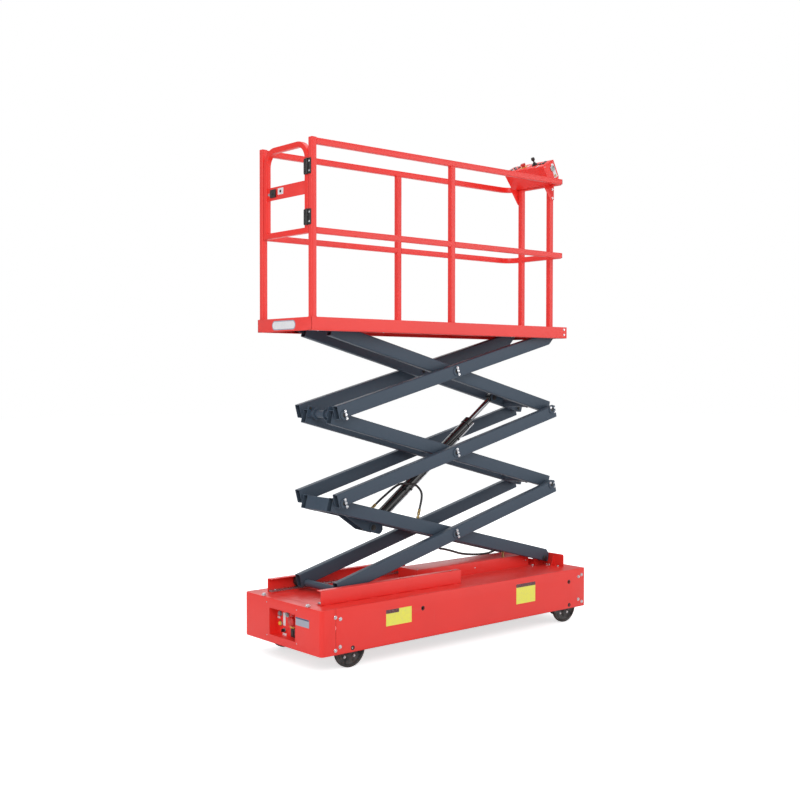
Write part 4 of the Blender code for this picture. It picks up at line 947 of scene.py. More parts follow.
def track(name, side):
    """A folded channel welded to the deck, with the strip that the roller runs on."""
    low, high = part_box(f"roller_track_{name}")
    outer, inner = (low.y, high.y) if side < 0 else (high.y, low.y)
    web, floor_z, roof_z = outer - side * WALL, low.z + WALL, high.z - WALL
    outline = [(outer, low.z), (inner, low.z), (inner, floor_z), (web, floor_z)]
    outline += [(web, roof_z), (inner, roof_z), (inner, high.z), (outer, high.z)]
    section = rounded(outline, (0.008, 0.001, 0.001, 0.003, 0.003, 0.001, 0.001, 0.008), 5)
    piece = Piece().add(prism(section, low.x, high.x, "X"), edge=0.0006, steps=1)
    for x in (low.x + 0.03 + k * (high.x - low.x - 0.10) / 6 for k in range(7)):
        bead(piece, [(x, outer, low.z + 0.001), (x + 0.04, outer, low.z + 0.001)])
    piece.show(f"track_{name}_channel", "red", "chassis", f"roller_track_{name}")
    strip_top = floor_z + 0.012
    across = (web - side * 0.001, inner + side * 0.004)
    strip = block((low.x + 0.004, high.x - 0.004), across, (floor_z, strip_top))
    Piece().add(strip, edge=0.0008).show(f"track_{name}_strip", "steel", "chassis")
    screws = Piece()
    for x in (low.x + 0.045, low.x + 0.45, low.x + 0.80, high.x - 0.05):
        dome(screws, (x, (web + inner) / 2, strip_top), Z, 0.006)
    for x in (high.x - 0.035, high.x - 0.075, high.x - 0.42):
        dome(screws, (x, (web + inner) / 2, high.z), Z, 0.0045)
    screws.show(f"track_{name}_screws", "zinc", "chassis")


def base_bracket(name, side):
    """A cheek beside the inner arm, and a plate across, folded forward along its inner edge."""
    low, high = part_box(f"base_bracket_{name}")
    front, back, foot = high.x - 0.006, high.x, low.z + 0.001
    cheek, gusset = sorted((side * 0.098, side * 0.108)), (side * 0.200, side * 0.206)
    edge = settings().edge
    outline = rounded(rect(low.x, low.z, back, high.z), (0, 0, 0.004, 0.022), 6)
    piece = Piece().add(prism(outline, *cheek), edge=edge)
    across = rounded(rect(side * 0.104, low.z, side * 0.298, high.z), (0, 0, 0.014, 0), 6)
    piece.add(prism(across, front, back, "X"), edge=edge)
    piece.add(prism([(front - 0.030, low.z), (front, low.z), (front, high.z - 0.012)], *gusset), edge=0.0008)
    for y in cheek:
        bead(piece, [(low.x, y, foot), (back, y, foot)])
    bead(piece, [(front, side * 0.12, foot), (front, side * 0.296, foot)])
    bead(piece, [(front, side * 0.109, low.z), (front, side * 0.109, high.z - 0.01)])
    piece.show(f"bracket_{name}_plates", "red", "chassis", f"base_bracket_{name}")
    bolts = Piece()
    for x, y, size in (*((front - 0.018, y, 0.0075) for y in (0.150, 0.175, 0.262)), (0.992, 0.115, 0.0090)):
        bolt(bolts, (x, side * y, low.z), Z, size)
    bolts.show(f"bracket_{name}_bolts", "zinc", "chassis")


def tracks():
    for name, side in SIDES.items():
        track(name, side)
        base_bracket(name, side)


def base_hinge():
    """The base hinge's shaft, with a bolt in each head, its collars, and a tie between the brackets."""
    reach, radius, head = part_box("base_shaft")[1].y, 0.016, 0.006
    profile = [(-reach, 0), (-reach, 0.019), (-reach + 0.002, 0.022), (-reach + head, 0.022), (-reach + head, radius)]
    shaft = Piece().add(turned(mirrored(profile), LIFT, Y, 40))
    shaft.show("base_hinge_shaft", "frame black", "chassis", "base_shaft")
    collars = Piece()
    for side in WAYS:
        bolt(collars, LIFT + Y * side * reach, Y * side, 0.0075)
        collars.add(*(ring(LIFT + Y * side * y, Y * side, 0.0235, radius, 0.006) for y in (0.060, 0.092)))
    collars.show("base_hinge_collars", "frame black", "chassis")
    foot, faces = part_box("base_bracket_near")[0].z, (1.030, 1.036)
    tie = Piece().add(block(faces, (-0.0975, 0.0975), (foot, foot + 0.040)), edge=0.0008)
    for x in faces:
        bead(tie, [(x, -0.096, foot + 0.001), (x, 0.096, foot + 0.001)])
    tie.show("base_tie_plate", "red", "chassis")


class LIFT_OT_tracks(Maker):
    """The channels that the lower rollers run in, and the hinge brackets"""

    bl_idname = "lift.tracks"
    bl_label = "Tracks and brackets"
    steps = (tracks, base_hinge)


# ---- ground controls
def on_tray(y, z):
    """A place on the back of the controls' recess."""
    return Vector((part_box("control_recess")[1].x - SHEET, y, z))


def plate(place, half_y, half_z, thick):
    """A block that stands out by its thickness from a place toward -X."""
    x, y, z = place
    return block((x - thick, x), (y - half_y, y + half_y), (z - half_z, z + half_z))


def recess():
    low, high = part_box("control_recess")
    face = high.x - SHEET
    hollow = rounded(rect(low.y + SHEET, low.z + SHEET, high.y - SHEET, high.z - SHEET), 0.008, 5)
    piece = Piece().add(block(*zip(low, high)), edge=0.001).cut(prism(hollow, low.x - 0.02, face, "X"))
    piece.show("recess_tray", "red", "chassis", "control_recess")


def ground_stop():
    """The mushroom stop on its collar."""
    low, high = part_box("ground_stop_button")
    y, z = (low.y + high.y) / 2, (low.z + high.z) / 2
    out = high.z - z
    back = disc(on_tray(y + 0.012, z - 0.013), -X, out * 1.24, 0.009, edge=0.002, sides=48)
    Piece().add(back).show("stop_back", "yellow plastic", "chassis")
    collar = disc(on_tray(y, z), -X, out * 1.30, 0.013, edge=0.004, sides=48)
    Piece().add(collar).show("stop_collar", "red plastic", "chassis")
    marks = (plate(on_tray(y + a, z + b), 0.012, 0.006, 0.0012) for a, b in ((-0.030, 0.036), (-0.026, -0.043)))
    Piece().add(*marks).show("stop_marks", "white label", "chassis")
    stem, head = ((0, 0), (0, 0.50), (0.014, 0.50), (0.016, 0.62), (0.017, 0.96)), ((0.019, 1), (0.026, 1))
    profile = [*stem, *head, (0.031, 0.86), (0.0335, 0.55), (0.0340, 0)]
    mushroom = turned([(along, out * radius) for along, radius in profile], on_tray(y, z), -X, 48)
    Piece().add(mushroom).show("stop_mushroom", "red plastic", "chassis", "ground_stop_button")


def small_controls():
    """Two push buttons with a strip between them, a lamp, a key switch and a rocker."""
    bezels, grey, black = Piece(), Piece(), Piece()
    for place in (on_tray(0.096, 0.297), on_tray(0.013, 0.304)):
        bezels.add(ring(place, -X, 0.0200, 0.0150, 0.007))
        grey.add(disc(place, -X, 0.0148, 0.014, edge=0.0030, sides=28))
    bulb, key, rocker = on_tray(0.094, 0.233), on_tray(0.050, 0.196), on_tray(-0.062, 0.197)
    bezels.add(ring(bulb, -X, 0.0190, 0.0150, 0.005), ring(key, -X, 0.0150, 0.0090, 0.006))
    black.add(disc(key, -X, 0.0095, 0.0080, sides=28))
    black.add(plate(key, 0.002, 0.010, 0.026), edge=0.0006)
    black.add(plate(rocker, 0.024, 0.027, 0.016), plate(rocker, 0.014, 0.018, 0.023), edge=0.003)
    strips = ((0.0535, 0.266, 0.0135, 0.042), (0.051, 0.161, 0.021, 0.015), (0.115, 0.268, 0.015, 0.006))
    pale = Piece().add(*(plate(on_tray(y, z), a, b, 0.0010) for y, z, a, b in strips), edge=0.0002)
    profile = [(0, 0), (0, 0.0148), (0.007, 0.0148), (0.012, 0.0120), (0.015, 0.0070), (0.0160, 0)]
    bezels.show("button_bezels", "steel", "chassis")
    grey.show("push_buttons", "grey plastic", "chassis")
    black.show("key_and_rocker", "black plastic", "chassis")
    pale.show("control_labels", "white label", "chassis")
    Piece().add(turned(profile, bulb, -X, 28)).show("charge_lamp", "yellow plastic", "chassis")


def stickers():
    """The blank plates and stickers on the covers."""
    low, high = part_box("front_cover")
    front = low.x
    label("name_plate", ((front - 0.0008, front), (-0.298, -0.156), (0.273, 0.324)), "chassis", "blue label")
    label("name_plate_top", ((front - 0.0012, front), (-0.297, -0.157), (0.3145, 0.3235)), "chassis", "navy label")
    for name, side in SIDES.items():
        for k, ((x0, x1), z, header) in enumerate(
            (((-0.710, -0.494), (0.233, 0.337), 0.50), ((0.489, 0.685), (0.216, 0.357), 1.0))
        ):
            y = [(side * high.y, side * (high.y + out)) for out in (0.0006, 0.0009)]
            label(f"sticker_{name}_{k}", ((x0, x1), y[0], z), "chassis", "yellow label", 0.003)
            top = ((x0, x0 + (x1 - x0) * header), y[1], (z[1] - 0.024, z[1]))
            label(f"sticker_{name}_{k}_header", top, "chassis", "dark label", 0.003)


class LIFT_OT_controls(Maker):
    """The ground controls in the front cover's recess, and the plates beside it"""

    bl_idname = "lift.controls"
    bl_label = "Ground controls"
    steps = (recess, ground_stop, small_controls, stickers)


# ---- wheels
DISC, DRUM, AXLE = 0.120, 0.060, 0.015  # radii


def wheel(name, axle, side, ridden):
    low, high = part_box(name)
    inside, face = sorted((abs(low.y), abs(high.y)))
    wall = face - 0.026
    flange = ((0, AXLE + 0.001), (0, 0.074), (0.003, 0.078), (0.007, 0.078), (0.011, 0.073))
    profile = shifted(inside, (*flange, (0.018, DRUM + 0.004), (0.024, DRUM)))
    drum = ((-0.012, DRUM), (-0.004, DRUM + 0.006), (0, DRUM + 0.016), (0, DISC - 0.008))
    profile += shifted(wall, (*drum, (0.003, DISC - 0.003), (0.007, DISC)))
    rim = ((0.005, 0), (0.0015, 0.0015), (0, 0.005), (0, 0.013), (0.003, 0.017), (0.009, 0.021), (0.011, 0.028))
    profile += [(face - a, DISC - less) for a, less in rim]
    hub = ((0.011, 0.050), (0.008, 0.042), (0.002, 0.036), (0, 0.034), (0, 0.024), (0.002, 0.022))
    profile += shifted(face, (*hub, (0.002, AXLE + 0.001)), -1)
    Piece().add(turned(profile, axle, Y * side, 96)).show(f"{name}_casting", "iron", ridden, name)
    bolts = Piece()
    for turn in (2 * pi * k / 5 + 0.3 for k in range(5)):
        place = axle + Vector((0.064 * cos(turn), side * (face - 0.011), 0.064 * sin(turn)))
        bolt(bolts, place, Y * side, 0.0065)
    bolts.add(disc(axle + Y * side * (face - 0.002), Y * side, 0.0205, 0.003, sides=32))
    bolt(bolts, axle + Y * side * (face + 0.0005), Y * side, 0.0095, washer=False)
    bolts.show(f"{name}_bolts", "zinc", ridden)


def wheels():
    for name in ("front", "rear"):
        axle, ridden = joint_place(f"{name}_axle_spin"), f"{name}_axle"
        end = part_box(ridden)[1].y
        piece = Piece().add(bar(axle, Y, end, AXLE))
        piece.add(*(ring(axle + Y * (y - 0.005), Y, 0.024, AXLE, 0.010) for y in (-0.222, -0.164, 0.164, 0.222)))
        piece.show(f"{name}_axle_bar", "steel", ridden, ridden)
        for side_name, side in SIDES.items():
            wheel(f"{name}_wheel_{side_name}", axle, side, ridden)


class LIFT_OT_wheels(Maker):
    """Flanged wheels and axles"""

    bl_idname = "lift.wheels"
    bl_label = "Wheels"
    steps = (wheels,)


# ---- arms
LAST_STAGE = 3
PIN, EYE_BORE = 0.016, 0.0155
TOE = ((1.0083, 2.0343), (1.1600, 2.0343), (1.1600, 2.1456), (1.1182, 2.1456))
HEEL = (0.035, 0.030)  # cut off the lowest inner arms' upper right corner: along, across
KEEPER = ((0.0066, 0.023), (0.0076, 0.001), (0.0086, -0.024))  # bolts of a keeper bar: along, across
RING_BOLTS = ((-0.0128, 0.0172), (0.0268, 0.0027), (0.0281, -0.0273))  # on the right bosses: along, across
BARREL_PIN, ROD_PIN = (-1.62, -0.092), (-0.424, -0.029)  # in the frames of the inner arms


def arm_tube(left, right, y, heel=None):
    """A rectangular tube along X with open ends. heel, as a length along and across, is cut off its upper right."""
    half, radius = ARM_HALF, settings().arm_corner
    along, across = heel or (0.0, half)
    start = half - across

    def loop(inset):
        y0, y1, z1, bend = min(y) + inset, max(y) - inset, half - inset, radius - inset
        points = arc((y0 + bend, -z1 + bend), bend, 180, 270, 5) + arc((y1 - bend, -z1 + bend), bend, 270, 360, 5)
        points += [(y1, start), *arc((y1 - bend, z1 - bend), bend, 0, 90, 5)]
        return [*points, *arc((y0 + bend, z1 - bend), bend, 90, 180, 5), (y0, start)]

    section = loop(0.0) + loop(ARM_WALL - 0.001)
    count = len(section) // 2
    points = [(left, a, z) for a, z in section]
    points += [(right - along * max(0.0, z - start) / across, a, z) for a, z in section]
    faces = []
    for i, (one, two) in product(range(count), ((0, 2), (1, 3), (0, 1), (2, 3))):
        a, b, j = one * count, two * count, (i + 1) % count
        faces.append((a + i, a + j, b + j, b + i))
    return points, faces


def boss(piece, x, side, face, radius, out):
    """A ring round a pin on an arm's face, with its weld."""
    piece.add(ring((x, side * face, 0), Y * side, radius, PIN, out, 36))
    round_bead(piece, (x, side * (face + 0.001), 0), X, Z, radius + 0.001, 22, 0.002)


def pin_end(piece, bright, dark, x, side):
    """The end of a pin, with a keeper bar across it, or with bolts round the boss at the right end."""
    out, way = OUTER_Y[1] + 0.006, Y * side
    end = [(0, 0), (0, 0.0155), (0.001, 0.0155), (0.0025, 0.0135), (0.0025, 0)]
    dark.add(turned(end, (x, side * (out - 0.003), 0), way))
    if x > 0:
        for a, b in RING_BOLTS:
            bolt(bright, (x + a, side * (out if a < 0 else OUTER_Y[1]), b), way, 0.0068)
    else:
        keeper = [(x - 0.001, -0.033), (x + 0.017, -0.033), (x + 0.015, 0.032), (x - 0.002, 0.032)]
        piece.add(prism(rounded(keeper, 0.005, 4), side * out, side * (out + 0.005)), edge=0.0006)
        for a, b in KEEPER:
            bolt(bright, (x + a, side * (out + 0.005), b), way, 0.0072)
    dark.add(disc((x, side * (INNER_Y[0] + 0.004), 0), way, PIN - 0.0005, 0.05, sides=32))


def outer_arm(stage, name, side):
    place, ridden, last = outer_place(stage), f"outer_{stage}", stage == LAST_STAGE
    y, pins = [side * each for each in OUTER_Y], (-HALF_ARM, 0.0, HALF_ARM)
    piece, bright, dark = Piece(place), Piece(place), Piece(place)
    reach = HALF_ARM + ARM_OVER
    piece.add(arm_tube(-reach, reach, y), place=about(0.0, TUBE_TILT))
    if last:  # the lower corner clears the platform when folded
        corners = [place.inverted() @ Vector((a, 0, b)) for a, b in TOE]
        piece.cut(prism([(corner.x, corner.z) for corner in corners], min(y) - 0.01, max(y) + 0.01))
    for x in pins:
        if last and x > 0:  # the pin in the platform's lug
            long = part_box("outer_arm_3_far")[1].y - OUTER_Y[1] + 0.004
            dark.add(disc((x, side * (OUTER_Y[1] - 0.004), 0), Y * side, PIN - 0.0003, long, sides=32))
            dark.add(disc((x, side * (OUTER_Y[0] - 0.004), 0), Y * side, PIN + 0.006, 0.004, sides=32))
            continue
        if stage > 1 or x >= 0:
            piece.add(ring((x, side * (INNER_Y[1] + 0.003), 0), Y * side, 0.026, PIN, 0.014, 36))
        boss(piece, x, side, OUTER_Y[1], 0.031, 0.006)
        pin_end(piece, bright, dark, x, side)
    for x in pins:
        round_bead(piece, (x, side * (OUTER_Y[0] - 0.0005), 0), X, Z, 0.025, 20, 0.002)
    piece.show(f"outer_arm_{stage}_{name}_tube", "grey", ridden, f"outer_arm_{stage}_{name}")
    bright.show(f"outer_arm_{stage}_{name}_pins", "zinc", ridden)
    dark.show(f"outer_arm_{stage}_{name}_pin_ends", "frame black", ridden)


def cross_tube(piece, x, z):
    """A round tube welded between the two inner arms."""
    reach = INNER_Y[0] + 0.001
    piece.add(disc((x, -reach, z), Y, 0.026, 2 * reach, sides=40))
    for side in WAYS:
        round_bead(piece, (x, side * (INNER_Y[0] - 0.001), z), X, Z, 0.027, 26, 0.003)


def eye_plates(piece, outline, radii, faces, pin, boss_size, weld=()):
    """A plate at each side of a cylinder's end, with its weld and the ring round the pin."""
    out, radius, thick = boss_size
    for side in WAYS:
        plate = prism(rounded(outline, radii, 6), *(side * face for face in faces))
        piece.add(plate, edge=settings().edge)
        if weld:
            bead(piece, [(x, side * (faces[0] + 0.009), -0.046) for x in weld])
        piece.add(ring((pin[0], side * out, pin[1]), Y * side, radius, EYE_BORE, thick, 36))


def barrel_mount(piece, pitch, turn):
    """The box across the lowest frame's left end, and the plates of the cylinder's foot."""
    left, half, reach = -pitch - ARM_OVER, ARM_HALF, INNER_Y[0] + 0.001
    box = rounded(rect(left, -half, left + 0.09, half - 0.002), 0.006, 4)
    piece.add(prism(box, -reach, reach), edge=0.0008, place=turn)
    piece.add(prism(rounded(rect(-1.89, -0.044, -1.72, -0.030), 0.002), -reach, reach), edge=0.0008)
    outline = [(-1.885, -0.030), (-1.880, -0.060), (-1.690, -0.125), (-1.545, -0.125), (-1.530, -0.090)]
    radii = (0.003, 0.01, 0.02, 0.024, 0.02, 0.01)
    faces, boss_size = (0.0415, 0.0495), (0.0485, 0.030, 0.006)
    eye_plates(piece, [*outline, (-1.550, -0.040)], radii, faces, BARREL_PIN, boss_size, weld=(-1.88, -1.73))
    for side, z in product(WAYS, (-half, half - 0.003)):
        y = side * (INNER_Y[0] - 0.001)
        bead(piece, [turn @ Vector((x, y, z)) for x in (left + 0.005, left + 0.088)])


def rod_mount(piece):
    cross_tube(piece, -0.330, 0.010)
    outline = [(-0.455, -0.030), (-0.440, -0.060), (-0.405, -0.060), (-0.300, -0.010), (-0.250, 0.060)]
    outline += [(-0.270, 0.072), (-0.330, 0.050), (-0.450, 0.000)]
    radii = (0.016, 0.018, 0.02, 0.02, 0.008, 0.008, 0.01, 0.014)
    eye_plates(piece, outline, radii, (0.026, 0.034), ROD_PIN, (0.033, 0.026, 0.005))


def inner_arms(stage):
    place, pitch, turn = inner_place(stage), 2 * HALF_ARM, about(-HALF_ARM, -TUBE_TILT)
    piece, dark = Piece(place), Piece(place)
    for side in WAYS:
        y = [side * each for each in INNER_Y]
        tube = arm_tube(-pitch - ARM_OVER, ARM_OVER, y, HEEL if stage == 1 else None)
        piece.add(tube, place=turn)
        for x in (-pitch, -pitch / 2, 0.0):
            boss(piece, x, -side, -INNER_Y[0], 0.023, 0.004)
    if stage == 1:
        barrel_mount(piece, pitch, turn)
        x, z = BARREL_PIN
        dark.add(disc((x, -0.064, z), Y, EYE_BORE, 0.128, sides=32))
        for side in WAYS:
            dark.add(ring((x, side * 0.056, z), Y * side, 0.0195, 0.0145, 0.0015))
            bolt(dark, (x, side * 0.063, z), Y * side, 0.006)
    else:
        cross_tube(piece, -0.150, 0.0)
    if stage == 2:
        cross_tube(piece, -pitch, 0.0)
        clip = rounded(rect(-pitch - 0.046, -0.030, -pitch + 0.05, 0.046), 0.010, 5)
        for side in WAYS:
            piece.add(disc((-pitch, side * 0.050, 0), Y * side, 0.040, 0.006, sides=40))
            piece.add(prism(clip, side * 0.104, side * 0.112), edge=0.001)
            for a, b in ((-0.030, 0.030), (0.034, 0.030), (0.034, -0.016)):
                bolt(dark, (-pitch + a, side * 0.104, b), -Y * side, 0.0065)
    if stage == LAST_STAGE:
        rod_mount(piece)
        x, z = ROD_PIN
        dark.add(disc((x, -0.046, z), Y, EYE_BORE, 0.092, sides=32))
        dark.add(*(ring((x, side * 0.039, z), Y * side, 0.0195, 0.0145, 0.0015) for side in WAYS))
    for side, x in product(WAYS, (-pitch / 2, 0.0)):
        bolt(dark, (x, side * (INNER_Y[0] - 0.004), 0), -Y * side)
    piece.show(f"inner_arms_{stage}", "grey", f"inner_{stage}", f"inner_frame_{stage}")
    dark.show(f"inner_arms_{stage}_pins", "frame black", f"inner_{stage}")


def arms():
    for stage in range(1, LAST_STAGE + 1):
        inner_arms(stage)
        for name, side in SIDES.items():
            outer_arm(stage, name, side)


class LIFT_OT_arms(Maker):
    """The scissor arms with their pins, bosses and cross tubes"""

    bl_idname = "lift.arms"
    bl_label = "Scissor arms"
    steps = (arms,)


# ---- rollers
def rollers():
    for name, ridden in (("base", "outer_1"), ("top", "inner_3")):
        low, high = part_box(f"{name}_roller_shaft")
        centre = (low + high) / 2
        shaft = Piece().add(bar(centre, Y, high.y, 0.016, sides=36))
        if name == "base":
            shaft.add(turned(mirrored([(-0.172, 0.0165), (-0.172, 0.023)]), centre, Y, 36))
        cone = [(0.232, 0.0165), (0.232, 0.030), (0.238, 0.030), (0.248, 0.019), (0.248, 0.0165)]
        shaft.add(*(turned(cone, centre, Y * side, 36) for side in WAYS))
        shaft.show(f"{name}_shaft_bar", "grey", ridden, f"{name}_roller_shaft")
        for side_name, side in SIDES.items():
            roller(f"{name}_roller_{side_name}", centre, Y * side, ridden)


def roller(name, centre, way, ridden):
    low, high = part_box(name)
    radius = (high.z - low.z) / 2
    near, far = sorted((abs(low.y), abs(high.y)))
    side = [(near, 0.0165), (near, 0.024), (near + 0.0015, 0.026), (near, radius - 0.004)]
    profile = mirrored([*side, (near + 0.002, radius - 0.001), (near + 0.004, radius)], near + far)
    Piece().add(turned(profile, centre, way, 56)).show(f"{name}_wheel", "black plastic", ridden, name)
    circlip = ring(centre + way * (far - 0.0005), way, 0.0215, 0.0145, 0.0015)
    Piece().add(circlip).show(f"{name}_circlip", "zinc", ridden)


class LIFT_OT_rollers(Maker):
    """The rollers and shafts at the arms' sliding ends"""

    bl_idname = "lift.rollers"
    bl_label = "Rollers"
    steps = (rollers,)


# ---- cylinder
BARREL, ROD = 0.0325, 0.0175  # radii
LENGTH = 1.178  # foot pin to the gland's face
GLAND = LENGTH - 0.060
FOOT = joint_place("barrel_pivot")
LINE = Vector(JOINTS["rod_slide"]["axis"]).normalized()


def barrel():
    tube = [(0.020, 0), (0.020, BARREL - 0.004), (0.024, BARREL), (GLAND - 0.003, BARREL)]
    tube += [(GLAND - 0.003, BARREL - 0.0015), (GLAND - 0.001, BARREL - 0.0015), (GLAND - 0.001, 0.0185)]
    piece = Piece().add(turned([*tube, (GLAND + 0.02, 0.0185), (GLAND + 0.02, 0)], FOOT, LINE, 56))
    piece.add(bar(FOOT, Y, 0.0395, 0.034, 0.0158, 48))
    round_bead(piece, FOOT + LINE * 0.026, Y, LINE.cross(Y).normalized(), BARREL, 30, 0.0035)
    piece.show("barrel_tube", "gloss black", "cylinder_barrel", "cylinder_barrel")
    nut = ((0, 0.030), (0, 0.0345), (0.002, 0.0365), (0.050, 0.0365), (0.054, 0.0330), (0.059, 0.0290))
    nut = shifted(GLAND, (*nut, (0.060, 0.0240), (0.057, 0.0182), (0.020, 0.0182)))
    Piece().add(turned(nut, FOOT, LINE, 56)).show("gland_nut", "gloss black", "cylinder_barrel")
    wiper = shifted(GLAND, ((0.056, 0.0180), (0.056, 0.0225), (0.0635, 0.0205), (0.0645, 0.0180)))
    Piece().add(turned(wiper, FOOT, LINE, 40)).show("rod_wiper", "rubber", "cylinder_barrel")


def pipework():
    """The return pipe along the barrel with its clamps and blocks, and the port of the hose."""
    away = (LINE.cross(-Y).normalized() - Y).normalized()
    out = away * (BARREL + 0.006)
    start, end = FOOT + LINE * 0.150, FOOT + LINE * (GLAND + 0.020)
    path = [start + away * 0.026, start + away * 0.034 + LINE * 0.008, start + out + LINE * 0.020]
    path += [end + out - LINE * 0.030, end + away * 0.036 - LINE * 0.010, end + away * 0.030]
    Piece().add(pipe(smooth_route(path, 0.01), 0.0060, 16)).show("return_pipe", "zinc", "cylinder_barrel")
    blocks = Piece().add(*(disc(at + away * (BARREL - 0.006), away, 0.013, 0.012, sides=28) for at in (start, end)))
    for centre in (FOOT + LINE * at for at in (0.42, 0.72, 0.98)):
        blocks.add(ring(centre, LINE, BARREL + 0.0018, BARREL - 0.001, 0.014, 48))
        blocks.add(ring(centre + out, LINE, 0.0088, 0.0055, 0.014, 24))
    port = Vector(UPPER_HOSE[0]) - LINE * 0.045
    nearest = FOOT + LINE * (port - FOOT).dot(LINE)
    blocks.add(disc(nearest, port - nearest, 0.014, (port - nearest).length + 0.010, sides=32))
    blocks.show("barrel_blocks", "gloss black", "cylinder_barrel")


def rod():
    x, z = ROD_PIN
    eye = inner_place(LAST_STAGE) @ Vector((x, 0, z))
    inside, length = LENGTH - 0.30, (eye - FOOT).length
    shaft = [(inside, 0), (inside, ROD)]
    shaft += shifted(length, ((-0.040, ROD), (-0.036, ROD - 0.003), (-0.02, ROD - 0.003), (-0.02, 0)))
    Piece().add(turned(shaft, FOOT, LINE, 48)).show("rod_bar", "chrome", "cylinder_rod", "cylinder_rod")
    neck = [(-0.036, 0), (-0.036, 0.018), (-0.034, 0.020), (-0.026, 0.020), (-0.018, 0.018), (-0.018, 0)]
    head = Piece().add(bar(eye, Y, 0.020, 0.032, 0.0158, 44), turned(neck, eye, LINE, 40))
    head.show("rod_eye", "gloss black", "cylinder_rod")


class LIFT_OT_cylinder(Maker):
    """The lift cylinder with its pipe, port and gland"""

    bl_idname = "lift.cylinder"
    bl_label = "Cylinder"
    steps = (barrel, pipework, rod)


# ---- platform
PLATE = 0.004  # wall of the platform's frame
SIGN_Y, SIGN_Z = 0.002, 2.151  # middle of the blank oval plate on the platform's end


def platform_frame():
    low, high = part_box("platform_frame")
    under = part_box("platform_floor")[0].z
    roof, piece = under - 0.0003, Piece()
    for side in WAYS:
        outer, web, lip = (side * (high.y - inset) for inset in (0, PLATE, 0.046))
        outline = [(outer, low.z), (lip, low.z), (lip, low.z + PLATE), (web, low.z + PLATE)]
        outline += [(web, high.z), (outer, high.z)]
        section = rounded(outline, (0.006, 0.001, 0.001, 0.002, 0.001, 0.001), 5)
        piece.add(prism(section, low.x, high.x, "X"), edge=0.0005, steps=1)
        piece.add(block((low.x + PLATE, high.x), (web, lip), (roof - PLATE, roof)), edge=0.0005)
        pin = LIFT + Z * LAST_STAGE * STAGE_RISE
        y = sorted(side * (OUTER_Y[1] + out) for out in (0.005, 0.013))
        lug = rounded(rect(pin.x - 0.035, pin.z - 0.028, pin.x + 0.035, under), (0.026, 0.026, 0.001, 0.001), 8)
        piece.add(prism(lug, *y), edge=0.001)
        bead(piece, [(pin.x + a, y[0], under - 0.002) for a in (-0.033, 0.033)])
    end = rounded(rect(-high.y, low.z, high.y, high.z), 0.0015)
    piece.add(prism(end, low.x, low.x + PLATE, "X"), edge=settings().edge)
    reach = high.y - PLATE - 0.042
    for x in (-0.430, 0.030, 0.500):
        rib = rounded(rect(x - 0.015, roof - 0.025, x + 0.015, roof), 0.003)
        piece.add(prism(rib, -reach, reach), edge=0.0005)
    piece.show("platform_sheets", "red", "platform", "platform_frame")


def tread_bars(low, high):
    """Low rounded bars at 45 degrees on a square grid, in turn along and across."""
    pitch, long, wide, tall = 0.030, 0.0125, 0.0034, 0.0012
    outline = ((-1, 0), (-0.6, -1), (0.6, -1), (1, 0), (0.6, 1), (-0.6, 1))
    faces = ((0, 1, 6), (1, 2, 7, 6), (2, 3, 7), (3, 4, 7), (4, 5, 6, 7), (5, 0, 6))
    points, found = [], []
    for row in range(int((high.x - low.x - 0.7 * pitch) / pitch)):
        for column in range(1 + int((high.y - low.y - 0.093) / pitch)):
            turn = radians(45 if (row + column) % 2 else -45)
            along, across = Vector((cos(turn), sin(turn), 0)), Vector((-sin(turn), cos(turn), 0))
            centre = Vector((low.x + (row + 1) * pitch, low.y + 0.048 + column * pitch, high.z - 0.0001))
            start = len(points)
            points += [centre + along * a * long + across * b * wide for a, b in outline]
            points += [centre + along * a * long * 0.62 + Z * tall for a in WAYS]
            found += [tuple(start + i for i in face) for face in faces]
    return points, found


def platform_floor():
    """A tread plate, notched around the posts."""
    low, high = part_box("platform_floor")
    piece = Piece().add(block(*zip(low, high)), edge=0.0005, steps=1)
    notches = []
    for name, side in SIDES.items():
        for x in (LEFT_POST, MIDDLE_POST[name]):
            inside, start = {"near": -0.2455, "far": 0.2525}[name], x - 0.021 if x > -1 else -1.25
            notches.append(block((start, x + 0.021), (inside, side * 0.32), (low.z - 0.01, high.z + 0.01)))
    piece.cut(*notches).add(tread_bars(low, high))
    piece.show("tread_plate", "red", "platform", "platform_floor")


def platform_end():
    """A folded channel with a plate over it."""
    low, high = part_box("platform_end_plate")
    web, near, far = high.x - PLATE, low.y + PLATE, high.y - PLATE
    outline = rect(low.x, low.y, high.x, high.y) + [(low.x, far), (web, far), (web, near), (low.x, near)]
    section = rounded(outline, (0.0005, 0.006, 0.006, 0.0005, 0.0005, 0.003, 0.003, 0.0005), 5)
    piece = Piece().add(prism(section, low.z, high.z - 0.0005, "Z"), edge=0.0006)
    top = block((low.x, web), (near, far), (high.z - PLATE, high.z))
    piece.add(top, edge=0.0006).show("end_plate_sheet", "red", "platform", "platform_end_plate")


def platform_fixings():
    piece, low = Piece(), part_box("platform_frame")[0]
    for side, z in product(WAYS, (2.176, 2.137)):
        bolt(piece, (1.1285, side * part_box("platform_end_plate")[1].y, z), Y * side, 0.0062)
    for x, side in product((-1.13, -0.60, 0.60, 1.08), WAYS):
        dome(piece, (x, side * 0.265, low.z), -Z, 0.005)
    piece.show("platform_bolts", "zinc", "platform")
    for name, y, z, out, finish in (
        ("edge", 0.1285, 0.0300, 0.0010, "blue label"),
        ("face", 0.1215, 0.0235, 0.0016, "white label"),
    ):
        sign = rounded(rect(SIGN_Y - y, SIGN_Z - z, SIGN_Y + y, SIGN_Z + z), z * 0.98, 12)
        sign = Piece().add(prism(sign, low.x - out, low.x, "X"), edge=0.0003, steps=1)
        sign.show(f"blank_plate_{name}", finish, "platform")


